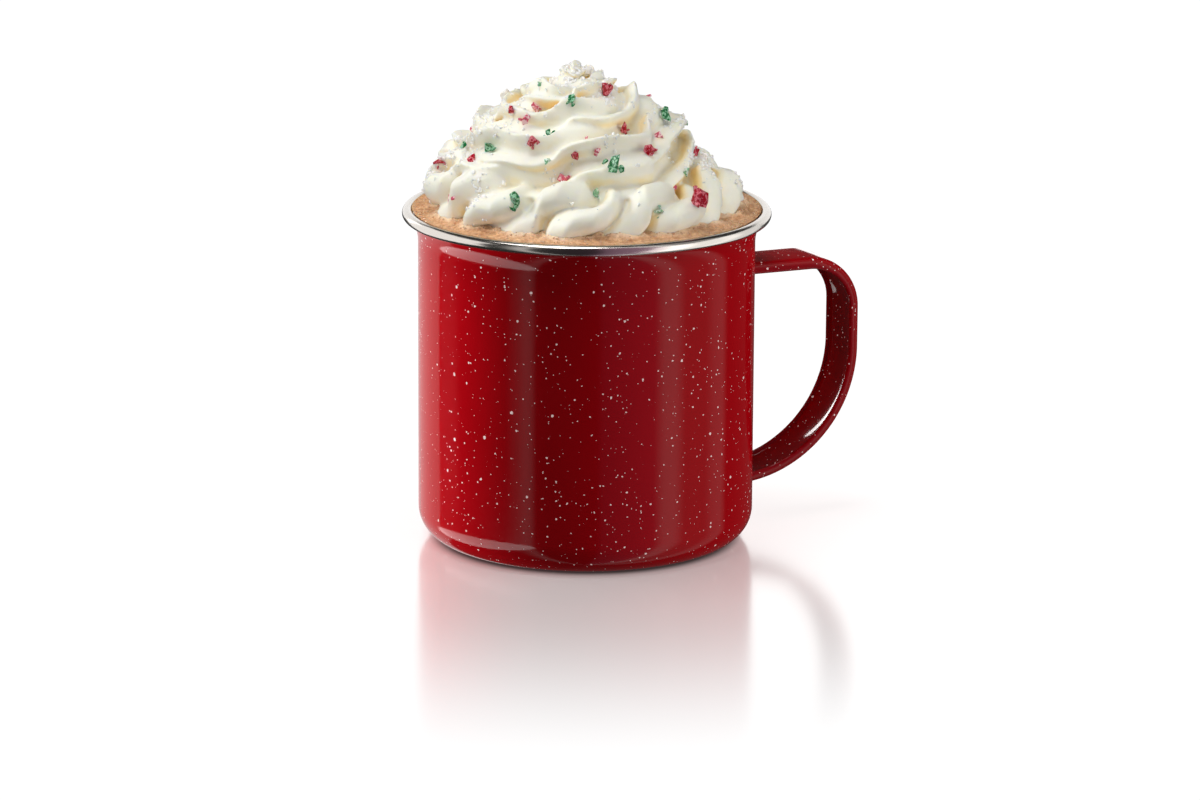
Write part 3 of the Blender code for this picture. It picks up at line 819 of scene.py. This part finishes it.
core = turned_mesh("cream_core", [(r * MM, z * MM) for r, z in CORE_PROFILE], 48)
for vertex in core.vertices:
    vertex.co += lean_at(vertex.co.z)
bm = bmesh.new()
for mesh in (*rope_meshes, core):
    bm.from_mesh(mesh)
bmesh.ops.remove_doubles(bm, verts=bm.verts, dist=0.000001)
bmesh.ops.recalc_face_normals(bm, faces=bm.faces)
ropes = bpy.data.meshes.new("ropes")
bm.to_mesh(ropes)
bm.free()
melting = new_object("melting", ropes)
melt = melting.modifiers.new("melt", "REMESH")
melt.mode = "VOXEL"
melt.voxel_size = VOXEL
soften = melting.modifiers.new("soften", "SMOOTH")
soften.factor = 0.5
soften.iterations = SMOOTHING_PASSES
cream_mesh = evaluated_mesh(melting)
cream_mesh.name = "cream_swirl"
bpy.data.objects.remove(melting)
print("melted:", triangles(cream_mesh), "triangles")

# %% Ruffle and cut the cream
RUFFLE = 1.2 * MM
RUFFLE_SIZE = 10.0 * MM
CREAM_FOOT = 88.3 * MM


def ruffle(point):
    """Return a smooth random shift, the same each run, that keeps the folds from being too even."""
    spot = point / RUFFLE_SIZE
    shift = [noise.noise(spot + Vector((0.0, 0.0, 31.7 * i))) for i in range(3)]
    return Vector(shift) * RUFFLE


def largest_shell(bm):
    """Delete loose scraps and closed bubbles, and keep the one outer skin."""
    unseen = set(bm.verts)
    shells = []
    while unseen:
        shell = {unseen.pop()}
        front = list(shell)
        while front:
            for edge in front.pop().link_edges:
                fresh = {v for v in edge.verts if v in unseen}
                unseen -= fresh
                shell |= fresh
                front.extend(fresh)
        shells.append(shell)
    kept = max(shells, key=len)
    bmesh.ops.delete(bm, geom=[v for v in bm.verts if v not in kept], context="VERTS")


bm = bmesh.new()
bm.from_mesh(cream_mesh)
for vertex in bm.verts:
    vertex.co += ruffle(vertex.co)
largest_shell(bm)
everything = list(bm.verts) + list(bm.edges) + list(bm.faces)
cut = bmesh.ops.bisect_plane(bm, geom=everything, plane_co=(0.0, 0.0, CREAM_FOOT),
                             plane_no=(0.0, 0.0, -1.0), clear_outer=True)
rim_edges = [item for item in cut["geom_cut"] if isinstance(item, bmesh.types.BMEdge)]
bmesh.ops.holes_fill(bm, edges=rim_edges, sides=0)
largest_shell(bm)
bm.to_mesh(cream_mesh)
bm.free()
cream_mesh.shade_smooth()
cream = new_object("cream_swirl", cream_mesh)
print("cream:", triangles(cream_mesh), "triangles, peak",
      round(max(v.co.z for v in cream_mesh.vertices) / MM, 2), "mm")

# %% [markdown]
# ## How deep the folds lie
#
# Cream glows where light passes through a thin crest, and deep in a fold, where light has bounced
# many times through fat, it turns a warm butter yellow. That bounced light is painted into the
# colour as a warm painted shade. To find the folds, each point of the mesh asks how much of the
# open air it sees: rays go out over its half of the sky, and the share that hits cream again is
# kept as an attribute for the material.

# %% Measure the folds
FOLD_RAYS = 20
FOLD_REACH = 14.0 * MM
FOLD_START = 0.2 * MM


def half_sky(count):
    """Return evenly spread directions over the half of a sphere about +Z, denser near the top."""
    rays = []
    for i in range(count):
        share = (i + 0.5) / count
        turn = i * math.pi * (3.0 - math.sqrt(5.0))
        flat = math.sqrt(share)
        rays.append(Vector((flat * math.cos(turn), flat * math.sin(turn), math.sqrt(1.0 - share))))
    return rays


cream_tree = BVHTree.FromPolygons([v.co for v in cream_mesh.vertices],
                                  [face.vertices for face in cream_mesh.polygons])
rays = half_sky(FOLD_RAYS)
depths = np.zeros(len(cream_mesh.vertices), np.float32)
for vertex in cream_mesh.vertices:
    normal = vertex.normal
    turn = normal.to_track_quat("Z", "X").to_matrix()
    start = vertex.co + normal * FOLD_START
    hits = 0
    for ray in rays:
        if cream_tree.ray_cast(start, turn @ ray, FOLD_REACH)[0] is not None:
            hits += 1
    depths[vertex.index] = hits / FOLD_RAYS
folds = cream_mesh.attributes.new("fold_depth", "FLOAT", "POINT")
folds.data.foreach_set("value", depths)
print("fold depth, mean and largest:", round(float(depths.mean()), 3), round(float(depths.max()), 3))

# %% Make the whipped cream finish
# Whipped cream: fat foam, so light scatters deep inside it, red furthest, and the skin is satin.
# Its real pores are a tenth of a millimetre, too fine to show, so they are drawn coarser
CREAM_PORE = 0.45 * MM
CREAM_LUMP = 2.4 * MM

whipped, tree = new_material("whipped_cream")
place = add_node(tree, "ShaderNodeTexCoord").outputs["Object"]
depth = add_node(tree, "ShaderNodeAttribute", {"attribute_name": "fold_depth"})
# Painted shade: the more shut in a point of a fold is, the more of a warm yellow it is painted
painted_fold_warmth = add_node(tree, "ShaderNodeMapRange", {"interpolation_type": "SMOOTHSTEP"}, {
    "Value": depth.outputs["Fac"], "From Min": 0.20, "From Max": 0.85})
tint = add_node(tree, "ShaderNodeMix", {"data_type": "RGBA"}, {
    0: painted_fold_warmth.outputs[0], 6: linear("fdf5e7"), 7: linear("f8dea2")})
pores = add_node(tree, "ShaderNodeTexNoise", {}, {
    "Vector": place, "Scale": 1.0 / CREAM_PORE, "Detail": 3.0})
lumps = add_node(tree, "ShaderNodeTexNoise", {}, {
    "Vector": place, "Scale": 1.0 / CREAM_LUMP, "Detail": 2.0})
coarse = add_node(tree, "ShaderNodeBump", {}, {
    "Height": lumps.outputs["Fac"], "Distance": 0.25 * MM, "Strength": 0.5})
fine = add_node(tree, "ShaderNodeBump", {}, {
    "Height": pores.outputs["Fac"], "Distance": 0.04 * MM, "Strength": 0.6,
    "Normal": coarse.outputs[0]})
shader = add_node(tree, "ShaderNodeBsdfPrincipled", {}, {
    "Base Color": tint.outputs[2], "Roughness": 0.42, "IOR": 1.40, "Normal": fine.outputs[0],
    "Subsurface Weight": 1.0, "Subsurface Radius": (1.0, 0.92, 0.70),
    "Subsurface Scale": 0.9 * MM})
add_node(tree, "ShaderNodeOutputMaterial", {}, {"Surface": shader.outputs[0]})
cream_mesh.materials.clear()
cream_mesh.materials.append(whipped)
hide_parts("whipped_cream")
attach(cream, "root")
print("cream nodes:", len(tree.nodes))

# %% [markdown]
# ## Crushed candy
#
# Candy canes and drops are boiled sugar, which cracks like glass into small sharp shards. Each
# shard is the hull round a few random corners, and lies where a ray from a point inside the
# cream leaves it. The large ones are listed one by one, as an azimuth and elevation in degrees and
# half a length in millimetres, and the largest coloured ones have two chips stuck to their side.
# The small ones follow a spiral.

# %% Say where the shards lie
SHARD_AIM_HEIGHT = 92.0 * MM
LARGE_SHARDS = (
    # azimuth, elevation, half length, colour
    (262, 23, 3.2, "green"), (293, 6, 3.3, "red"), (220, 8, 3.1, "green"), (193, 27, 2.7, "green"),
    (284, 72, 2.4, "red"), (323, 45, 2.6, "green"), (286, 29, 2.2, "red"), (278, 47, 2.2, "red"),
    (220, 34, 2.0, "red"), (167, 14, 2.0, "red"), (187, 20, 1.9, "red"), (238, 18, 2.0, "pink"),
    (183, 2, 1.9, "pink"), (238, 61, 2.0, "green"), (225, 41, 1.8, "green"),
    (255, 32, 1.6, "pink"), (254, 11, 1.9, "pale_green"), (278, 3, 1.8, "pale_green"),
    (198, 57, 1.8, "pink"), (204, 47, 1.8, "pink"), (307, 37, 1.6, "pink"), (243, 30, 1.7, "red"),
    (304, 16, 1.6, "pale_green"), (172, 25, 1.6, "green"), (192, 48, 1.5, "red"),
    (345, 18, 2.3, "red"), (20, 30, 2.6, "green"), (48, 9, 2.4, "red"), (75, 38, 2.1, "pink"),
    (96, 16, 2.8, "green"), (128, 27, 2.3, "red"), (146, 6, 2.3, "green"),
    (140, 50, 1.9, "white"), (0, 88, 1.7, "white"),
)
SMALL_SHARDS = 40
SMALL_SHARD_COLOURS = ("white", "white", "pale_green", "white", "pink", "white")
SMALL_SHARD_RADIUS = (0.9 * MM, 1.3 * MM)
GOLDEN_ANGLE = math.pi * (3.0 - math.sqrt(5.0))


def direction(azimuth, elevation):
    """Return the unit vector at an azimuth from +X and an elevation, in radians."""
    level = math.cos(elevation)
    return Vector((level * math.cos(azimuth), level * math.sin(azimuth), math.sin(elevation)))


def shard_places(rng):
    """Return (direction, half length, colour) for each shard, the large ones first."""
    places = [(direction(math.radians(azimuth), math.radians(elevation)), radius * MM, colour)
              for azimuth, elevation, radius, colour in LARGE_SHARDS]
    for i in range(SMALL_SHARDS):
        # The power brings more of them low down, where the cream has more surface
        elevation = math.asin(0.03 + 0.94 * ((i + 0.5) / SMALL_SHARDS) ** 1.3)
        colour = SMALL_SHARD_COLOURS[i % len(SMALL_SHARD_COLOURS)]
        radius = rng.uniform(*SMALL_SHARD_RADIUS)
        places.append((direction(i * GOLDEN_ANGLE, elevation), radius, colour))
    return places


print("shards planned:", len(LARGE_SHARDS), "large and", SMALL_SHARDS, "small")

# %% Crack and set the shards
SHARD_NARROWNESS = (0.7, 0.95)
SHARD_FLATNESS = (0.5, 0.75)
SHARD_CORNERS = 10
CORNER_REACH = (0.85, 1.0)
SHARD_SINK = 0.3
SHARD_CLEARANCE = 1.1 * MM
CHIPPED_RADIUS = 1.7 * MM
CHIP_SIZES = (0.35, 0.55)
CHIP_REACH = 0.75
RAY_START = 0.1


def add_shard(bm, radius, center, rng):
    """Add one cracked piece of candy to a mesh, as the hull round a few random corners."""
    turn = Vector([rng.gauss(0.0, 1.0) for _ in range(3)]).to_track_quat("Z", "X").to_matrix()
    squash = Matrix.Diagonal((1.0, rng.uniform(*SHARD_NARROWNESS), rng.uniform(*SHARD_FLATNESS)))
    corners = []
    for _ in range(SHARD_CORNERS):
        corner = Vector([rng.gauss(0.0, 1.0) for _ in range(3)]).normalized()
        reach = rng.uniform(*CORNER_REACH)
        corners.append(bm.verts.new(center + turn @ squash @ corner * radius * reach))
    hull = bmesh.ops.convex_hull(bm, input=corners)
    inner = [item for item in hull["geom_interior"] if isinstance(item, bmesh.types.BMVert)]
    bmesh.ops.delete(bm, geom=inner, context="VERTS")


rng = random.Random(7)
aim = Vector((0.0, 0.0, SHARD_AIM_HEIGHT)) + lean_at(SHARD_AIM_HEIGHT)
shards = {colour: bmesh.new() for colour in ("red", "green", "pink", "pale_green", "white")}
placed = []
for towards, radius, colour in shard_places(rng):
    hit, normal, _, _ = cream_tree.ray_cast(aim + towards * RAY_START, -towards)
    center = hit + normal * radius * SHARD_SINK
    apart = all((center - other).length > radius + reach for other, reach in placed)
    kept = apart and center.z > CREAM_FOOT + radius + SHARD_CLEARANCE
    target = shards[colour] if kept else bmesh.new()
    add_shard(target, radius, center, rng)
    chips = 2 if radius > CHIPPED_RADIUS and colour != "white" else 0
    for _ in range(chips):
        side = Vector([rng.gauss(0.0, 1.0) for _ in range(3)]).cross(normal).normalized()
        chip_center = center + side * radius * CHIP_REACH
        add_shard(target, radius * rng.uniform(*CHIP_SIZES), chip_center, rng)
    if kept:
        placed.append((center, radius))
print("shards set:", len(placed))

# %% [markdown]
# ## Boiled sugar
#
# Boiled sugar is a coloured glass. Its fresh cracks are sharp and shiny, and its colour is
# deepest where the piece is thick. Crushing leaves a white dust on it, so each colour is mixed
# with a frosted one by a noise pattern a little under a millimetre in size.

# %% Make the candy finishes
CANDY = {
    # colour: (slot, clear sugar, frosted sugar, share of light let through)
    "red": ("candy_red", "b50f26", "e67a88", 0.20),
    "green": ("candy_green", "14783f", "9fd6b0", 0.20),
    "pink": ("candy_red", "e0607c", "fbd5da", 0.25),
    "pale_green": ("candy_green", "8cc79c", "e9f5ea", 0.25),
    "white": ("candy_white", "fbf9f4", "ffffff", 0.05),
}
# The dust itself is finer than a tenth of a millimetre, so its patches are drawn instead
DUST_SIZE = 0.8 * MM

for colour, (slot, clear, frosted, through) in CANDY.items():
    candy, tree = new_material(f"boiled_sugar_{colour}")
    place = add_node(tree, "ShaderNodeTexCoord").outputs["Object"]
    dust = add_node(tree, "ShaderNodeTexNoise", {}, {
        "Vector": place, "Scale": 1.0 / DUST_SIZE, "Detail": 3.0})
    frost = add_node(tree, "ShaderNodeMapRange", {"interpolation_type": "SMOOTHSTEP"}, {
        "Value": dust.outputs["Fac"], "From Min": 0.46, "From Max": 0.60})
    sugar = add_node(tree, "ShaderNodeMix", {"data_type": "RGBA"}, {
        0: frost.outputs[0], 6: linear(clear), 7: linear(frosted)})
    polish = add_node(tree, "ShaderNodeMapRange", {}, {
        "Value": frost.outputs[0], "To Min": 0.10, "To Max": 0.45})
    cracks = add_node(tree, "ShaderNodeBump", {}, {
        "Height": dust.outputs["Fac"], "Distance": 0.15 * MM, "Strength": 0.5})
    shader = add_node(tree, "ShaderNodeBsdfPrincipled", {}, {
        "Base Color": sugar.outputs[2], "Roughness": polish.outputs[0], "IOR": 1.49,
        "Transmission Weight": through, "Normal": cracks.outputs[0]})
    add_node(tree, "ShaderNodeOutputMaterial", {}, {"Surface": shader.outputs[0]})

    bm = shards[colour]
    bmesh.ops.recalc_face_normals(bm, faces=bm.faces)
    mesh = bpy.data.meshes.new(f"candy_{colour}")
    bm.to_mesh(mesh)
    bm.free()
    mesh.materials.append(candy)
    piece = new_object(f"candy_{colour}", mesh)
    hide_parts("whipped_cream")
    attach(piece, "root")
    print(piece.name, triangles(mesh), "triangles")

# %% [markdown]
# ## Sugar crumbs
#
# Crushing also leaves coarse sugar, which clings to the cream in frosty patches. Hundreds of
# grains that follow a surface are a task for Geometry Nodes: points are scattered over the cream
# where an attribute says so, and each gets a grain with its own turn and size. A grain has only
# twenty faces, because it is a pixel or two wide. The attribute is worked out in Python, from
# the directions in which the patches lie.

# %% A runner for geometry trees
def set_inputs(modifier, values):
    """Set a modifier's inputs by the name of each socket, through the socket's identifier."""
    for item in modifier.node_group.interface.items_tree:
        if item.item_type == "SOCKET" and item.in_out == "INPUT" and item.name in values:
            modifier[item.identifier] = values[item.name]


def mesh_from_tree(tree, base_mesh, values):
    """Run a geometry tree on a copy of a mesh, and return the plain mesh that it makes."""
    carrier = new_object("carrier", base_mesh.copy())
    modifier = carrier.modifiers.new("nodes", "NODES")
    modifier.node_group = tree
    set_inputs(modifier, values)
    made = evaluated_mesh(carrier)
    carrier.modifiers.clear()
    bpy.data.objects.remove(carrier)
    return made


def geometry_tree(name, inputs):
    """Start a geometry tree with named inputs, and return the tree and its input node."""
    tree = bpy.data.node_groups.new(name, "GeometryNodeTree")
    tree.interface.new_socket("Geometry", in_out="INPUT", socket_type="NodeSocketGeometry")
    for label, kind in inputs.items():
        tree.interface.new_socket(label, in_out="INPUT", socket_type=kind)
    tree.interface.new_socket("Geometry", in_out="OUTPUT", socket_type="NodeSocketGeometry")
    return tree, add_node(tree, "NodeGroupInput")


print("geometry trees so far:", len(bpy.data.node_groups))

# %% Write the tree that scatters grains
SMALL_GRAIN_BIAS = 2.5


def scatter_tree(name, cover, shape_kind, shape_settings, stretch, smooth):
    """Return a tree that scatters small shapes over a surface, by an attribute on it."""
    tree, given = geometry_tree(name, {
        "Grains per square metre": "NodeSocketFloat", "Smallest": "NodeSocketFloat",
        "Largest": "NodeSocketFloat", "Seed": "NodeSocketInt", "Finish": "NodeSocketMaterial"})
    put = given.outputs
    where = add_node(tree, "GeometryNodeInputNamedAttribute", {"data_type": "FLOAT"}, {"Name": cover})
    density = add_node(tree, "ShaderNodeMath", {"operation": "MULTIPLY"}, {
        0: where.outputs["Attribute"], 1: put["Grains per square metre"]})
    points = add_node(tree, "GeometryNodeDistributePointsOnFaces", {}, {
        "Mesh": put["Geometry"], "Density": density.outputs[0], "Seed": put["Seed"]})
    shape = add_node(tree, shape_kind, {}, shape_settings)
    turn = add_node(tree, "FunctionNodeRandomValue", {"data_type": "FLOAT_VECTOR"}, {
        "Min": (0.0, 0.0, 0.0), "Max": (math.tau,) * 3, "Seed": put["Seed"]})
    chance = add_node(tree, "FunctionNodeRandomValue", {"data_type": "FLOAT"}, {"Seed": put["Seed"]})
    fewer = add_node(tree, "ShaderNodeMath", {"operation": "POWER"}, {
        0: chance.outputs[1], 1: SMALL_GRAIN_BIAS})
    size = add_node(tree, "ShaderNodeMapRange", {}, {
        "Value": fewer.outputs[0], "To Min": put["Smallest"], "To Max": put["Largest"]})
    scale = add_node(tree, "ShaderNodeVectorMath", {"operation": "SCALE"}, {
        0: stretch, "Scale": size.outputs[0]})
    grains = add_node(tree, "GeometryNodeInstanceOnPoints", {}, {
        "Points": points.outputs["Points"], "Instance": shape.outputs["Mesh"],
        "Rotation": turn.outputs[0], "Scale": scale.outputs[0]})
    real = add_node(tree, "GeometryNodeRealizeInstances", {}, {"Geometry": grains.outputs[0]})
    shaded = add_node(tree, "GeometryNodeSetShadeSmooth", {}, {
        "Geometry": real.outputs[0], "Shade Smooth": smooth})
    finished = add_node(tree, "GeometryNodeSetMaterial", {}, {
        "Geometry": shaded.outputs[0], "Material": put["Finish"]})
    add_node(tree, "NodeGroupOutput", {}, {"Geometry": finished.outputs[0]})
    return tree


crumb_tree = scatter_tree("sugar_crumbs", "crumb_cover", "GeometryNodeMeshIcoSphere",
                          {"Radius": 1.0, "Subdivisions": 1}, (1.0, 0.75, 0.55), False)
print("crumb tree:", len(crumb_tree.nodes), "nodes")

# %% Mark the crumb patches and scatter the crumbs
CRUMB_PATCHES = (
    # azimuth, elevation, width, in degrees
    (168, 17, 9), (178, 24, 8), (157, 38, 11), (188, 42, 7), (165, 54, 9), (201, 84, 16),
    (272, 71, 10), (312, 19, 7), (335, 17, 9), (330, 39, 9), (202, 9, 5), (232, 20, 4),
    (262, 34, 4), (60, 30, 10), (110, 46, 10), (20, 14, 7), (95, 10, 6),
)
CRUMB_STRAY = 0.012
CRUMBS_PER_AREA = 1.3 / MM ** 2
CRUMB_SIZES = (0.25 * MM, 0.85 * MM)
CRUMB_FLOOR = CREAM_FOOT + 1.5 * MM
CRUMB_CEILING = 126.3 * MM
CRUMB_FACES = 20

spots = np.empty((len(cream_mesh.vertices), 3), np.float32)
cream_mesh.vertices.foreach_get("co", spots.ravel())
lines = spots - np.array(aim, np.float32)
lines /= np.linalg.norm(lines, axis=1)[:, None]
cover = np.full(len(spots), CRUMB_STRAY, np.float32)
for azimuth, elevation, width in CRUMB_PATCHES:
    towards = np.array(direction(math.radians(azimuth), math.radians(elevation)), np.float32)
    angle = np.degrees(np.arccos(np.clip(lines @ towards, -1.0, 1.0)))
    cover = np.maximum(cover, np.exp(-((angle / width) ** 2)))
cover *= (1.0 - depths) ** 2
cover[spots[:, 2] > CRUMB_CEILING] = 0.0
cover[spots[:, 2] < CRUMB_FLOOR] = 0.0
marks = cream_mesh.attributes.new("crumb_cover", "FLOAT", "POINT")
marks.data.foreach_set("value", cover)

crumb_mesh = mesh_from_tree(crumb_tree, cream_mesh, {
    "Grains per square metre": CRUMBS_PER_AREA, "Smallest": CRUMB_SIZES[0],
    "Largest": CRUMB_SIZES[1], "Seed": 5, "Finish": bpy.data.materials["boiled_sugar_white"]})
cream_mesh.attributes.remove(cream_mesh.attributes["crumb_cover"])
crumbs = new_object("sugar_crumbs", crumb_mesh)
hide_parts("whipped_cream")
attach(crumbs, "root")
print("crumbs:", triangles(crumb_mesh) // CRUMB_FACES, "grains")

# %% [markdown]
# ## The froth
#
# Milk whipped with cocoa leaves a froth of fine bubbles. It fills the mug to the lip, and it is
# pushed up in a soft bank where the cream stands in it. The drink is turned from its section, as
# the cup is, down to the floor of the mug. Then each point of its top is raised by noise at three
# sizes, and by how near the cream is.

# %% Make the froth's finish
# Cocoa froth: a matt brown foam, paler on its bubbles, darker in the pores between them, and
# milky where the cream has begun to melt into it. Most of its bubbles are a fifth of a millimetre
# across, so the pattern is drawn coarser
FROTH_PATCH = 1.6 * MM
FROTH_BUBBLE = 0.7 * MM

froth_finish, tree = new_material("milk_cocoa_froth")
place = add_node(tree, "ShaderNodeTexCoord").outputs["Object"]
patches = add_node(tree, "ShaderNodeTexNoise", {}, {
    "Vector": place, "Scale": 1.0 / FROTH_PATCH, "Detail": 5.0, "Roughness": 0.7})
foam = add_node(tree, "ShaderNodeValToRGB", {}, {"Fac": patches.outputs["Fac"]})
foam.color_ramp.elements[0].position = 0.32
foam.color_ramp.elements[0].color = linear("b47349")
foam.color_ramp.elements[1].position = 0.68
foam.color_ramp.elements[1].color = linear("f9cfa1")
bubbles = add_node(tree, "ShaderNodeTexVoronoi", {}, {"Vector": place, "Scale": 1.0 / FROTH_BUBBLE})
pits = add_node(tree, "ShaderNodeMapRange", {}, {
    "Value": bubbles.outputs["Distance"], "From Min": 0.1, "From Max": 0.7,
    "To Min": 1.0, "To Max": 0.0})
grain = add_node(tree, "ShaderNodeBump", {}, {
    "Height": pits.outputs[0], "Distance": 0.2 * MM, "Strength": 0.8})
milk = add_node(tree, "ShaderNodeAttribute", {"attribute_name": "milk"})
blended = add_node(tree, "ShaderNodeMix", {"data_type": "RGBA"}, {
    0: milk.outputs["Fac"], 6: foam.outputs["Color"], 7: linear("fbe6c8")})
shader = add_node(tree, "ShaderNodeBsdfPrincipled", {}, {
    "Base Color": blended.outputs[2], "Roughness": 0.38, "IOR": 1.36,
    "Normal": grain.outputs[0], "Subsurface Weight": 0.3,
    "Subsurface Radius": (1.0, 0.6, 0.35), "Subsurface Scale": 0.8 * MM})
add_node(tree, "ShaderNodeOutputMaterial", {}, {"Surface": shader.outputs[0]})
print("froth nodes:", len(tree.nodes))

# %% Draw the drink's section
FROTH_TOP = 88.3 * MM
# Radii in millimetres of close rings round the cream, which carry the froth's relief
FINE_RINGS = (26.0, 45.2, 0.32)


def drink_profile():
    """Return the drink's section: froth, edge under the bead, wall, floor."""
    wall = BODY_RADIUS - WALL - GAP
    floor_level = WALL + GAP
    corner = CORNER_RADIUS - WALL - GAP
    collar = BEAD_HEIGHT + GAP
    edge = arc((BEAD_RING_RADIUS, BEAD_HEIGHT), BEAD_RADIUS + GAP, 130, 165, 4)
    return [
        (0.0, FROTH_TOP),
        (13 * MM, FROTH_TOP),
        *[(float(r) * MM, FROTH_TOP) for r in np.arange(*FINE_RINGS)],
        *edge,
        (edge[-1][0] - GAP, collar),
        (BODY_RADIUS, collar),
        *arc((BODY_RADIUS, BEAD_HEIGHT - WALL), WALL + GAP, 120, 180, 4),
        *arc((wall - corner, floor_level + corner), corner, 0, -90, 6),
        (0.0, floor_level),
    ]


print("drink's section:", len(drink_profile()), "points")

# %% Make the froth
DRINK_STEPS = 300
FROTH_RELIEF = 0.3 * MM
WAVE_LENGTH = 5.0 * MM
LUMP_SIZE = 1.6 * MM
LUMP_HEIGHT = 0.14 * MM
GRAIN_SIZE = 0.7 * MM
GRAIN_HEIGHT = 0.12 * MM
BANK_HEIGHT = 1.6 * MM
BANK_REACH = 2.0 * MM
BANK_PROBE = 0.6 * MM
BANK_EDGE = 44.5 * MM
BANK_EASE = 3.0 * MM
MILK_REACH = 1.1 * MM
MILK_SHARE = 0.75


def froth_height(point):
    """Return the height of the froth at a point of its flat top."""
    low = FROTH_TOP - FROTH_RELIEF
    waves = 0.5 + 0.5 * noise.noise(point / WAVE_LENGTH)
    lumps = noise.noise(point / LUMP_SIZE + Vector((7.0, 0.0, 0.0)))
    grains = noise.noise(point / GRAIN_SIZE + Vector((0.0, 9.0, 0.0)))
    height = low + FROTH_RELIEF * waves + LUMP_HEIGHT * lumps + GRAIN_HEIGHT * grains
    _, _, _, gap = cream_tree.find_nearest(point + Vector((0.0, 0.0, BANK_PROBE)))
    inside_edge = min(1.0, max(0.0, (BANK_EDGE - point.xy.length) / BANK_EASE))
    bank = BANK_HEIGHT * math.exp(-((gap / BANK_REACH) ** 2)) * inside_edge
    return height + bank * (0.75 + 0.5 * lumps)


froth_mesh = turned_mesh("cocoa_froth", drink_profile(), DRINK_STEPS)
milkiness = np.zeros(len(froth_mesh.vertices), np.float32)
for vertex in froth_mesh.vertices:
    if vertex.co.z > FROTH_TOP - 0.01 * MM:
        vertex.co.z = froth_height(vertex.co)
        gap = cream_tree.find_nearest(vertex.co)[3]
        milkiness[vertex.index] = MILK_SHARE * math.exp(-((gap / MILK_REACH) ** 2))
froth_mesh.attributes.new("milk", "FLOAT", "POINT").data.foreach_set("value", milkiness)
froth_mesh.materials.append(froth_finish)
froth = new_object("cocoa_froth", froth_mesh)
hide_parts("hot_chocolate")
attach(froth, "root")
print("froth:", triangles(froth_mesh), "triangles, top",
      round(max(v.co.z for v in froth_mesh.vertices) / MM, 2), "mm")

# %% [markdown]
# ## Bubbles on the froth
#
# The largest bubbles stand above the froth as small domes with a bright skin. The same kind of
# tree scatters them over the froth's top. They gather where the froth is banked against the
# cream and where it meets the steel, so the attribute is highest there.

# %% Make the bubbles' film
# Milk film over a bubble: thin, wet and nearly clear brown, so it shows as a small bright dot
FILM_PATCH = 0.9 * MM

film, tree = new_material("milk_foam_film")
place = add_node(tree, "ShaderNodeTexCoord").outputs["Object"]
tint = add_node(tree, "ShaderNodeTexNoise", {}, {"Vector": place, "Scale": 1.0 / FILM_PATCH})
shade = add_node(tree, "ShaderNodeMix", {"data_type": "RGBA"}, {
    0: tint.outputs["Fac"], 6: linear("a9714c"), 7: linear("f9dcbc")})
shader = add_node(tree, "ShaderNodeBsdfPrincipled", {}, {
    "Base Color": shade.outputs[2], "Roughness": 0.12, "IOR": 1.34,
    "Subsurface Weight": 0.4, "Subsurface Radius": (1.0, 0.6, 0.35), "Subsurface Scale": 0.4 * MM})
add_node(tree, "ShaderNodeOutputMaterial", {}, {"Surface": shader.outputs[0]})
print("film nodes:", len(tree.nodes))

# %% Blow the bubbles
BUBBLES_PER_AREA = 0.52 / MM ** 2
BUBBLE_SIZES = (0.14 * MM, 0.44 * MM)
BUBBLE_FACES = 80
OPEN_FROTH = (26 * MM, 44.9 * MM)
CREAM_REACH = 2.5 * MM
STEEL_EDGE = 45 * MM
STEEL_REACH = 1.5 * MM
SPARSE = 0.30

cover = []
for vertex in froth_mesh.vertices:
    out = vertex.co.xy.length
    if vertex.co.z < FROTH_TOP - 2 * FROTH_RELIEF or not OPEN_FROTH[0] <= out <= OPEN_FROTH[1]:
        cover.append(0.0)
        continue
    gap = cream_tree.find_nearest(vertex.co)[3]
    at_cream = math.exp(-((gap / CREAM_REACH) ** 2))
    at_steel = math.exp(-(((STEEL_EDGE - out) / STEEL_REACH) ** 2))
    cover.append(SPARSE + (1.0 - SPARSE) * max(at_cream, at_steel))
froth_mesh.attributes.new("bubble_cover", "FLOAT", "POINT").data.foreach_set("value", cover)
bubble_tree = scatter_tree("foam_bubbles", "bubble_cover", "GeometryNodeMeshIcoSphere",
                           {"Radius": 1.0, "Subdivisions": 2}, (1.0, 1.0, 1.0), True)
bubble_mesh = mesh_from_tree(bubble_tree, froth_mesh, {
    "Grains per square metre": BUBBLES_PER_AREA, "Smallest": BUBBLE_SIZES[0],
    "Largest": BUBBLE_SIZES[1], "Seed": 3, "Finish": film})
froth_mesh.attributes.remove(froth_mesh.attributes["bubble_cover"])
foam_bubbles = new_object("foam_bubbles", bubble_mesh)
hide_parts("hot_chocolate")
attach(foam_bubbles, "root")
print("bubbles:", triangles(bubble_mesh) // BUBBLE_FACES)

# %% [markdown]
# ## Who each lamp lights
#
# A photographer holds black cards between a lamp and what it shouldn't reach. Light linking does
# the same: a lamp with a collection lights only what is in it. The low left lamp lights the cup
# and its bead and not the handle, which stands in the cup's shadow, and the cream, candy and
# froth have a pair of their own.

# %% Link the lamps
candies = [bpy.data.objects[f"candy_{colour}"] for colour in CANDY]
lit_pieces = {
    "cup": (cup, bead),
    "wall": (cup,),
    "handle": (handle,),
    "bead": (bead,),
    "enamel": (cup, handle),
    "mirrors": (floor, bead),
    "drink": (cream, crumbs, froth, foam_bubbles, *candies),
}
for name, pieces in lit_pieces.items():
    for piece in pieces:
        lit_groups[name].objects.link(piece)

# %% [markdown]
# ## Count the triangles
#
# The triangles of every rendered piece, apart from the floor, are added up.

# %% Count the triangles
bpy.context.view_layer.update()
total = sum(triangles(obj.data) for obj in bpy.data.objects
            if obj.type == "MESH" and not obj.hide_render and obj is not floor)
print("triangles in all:", total)
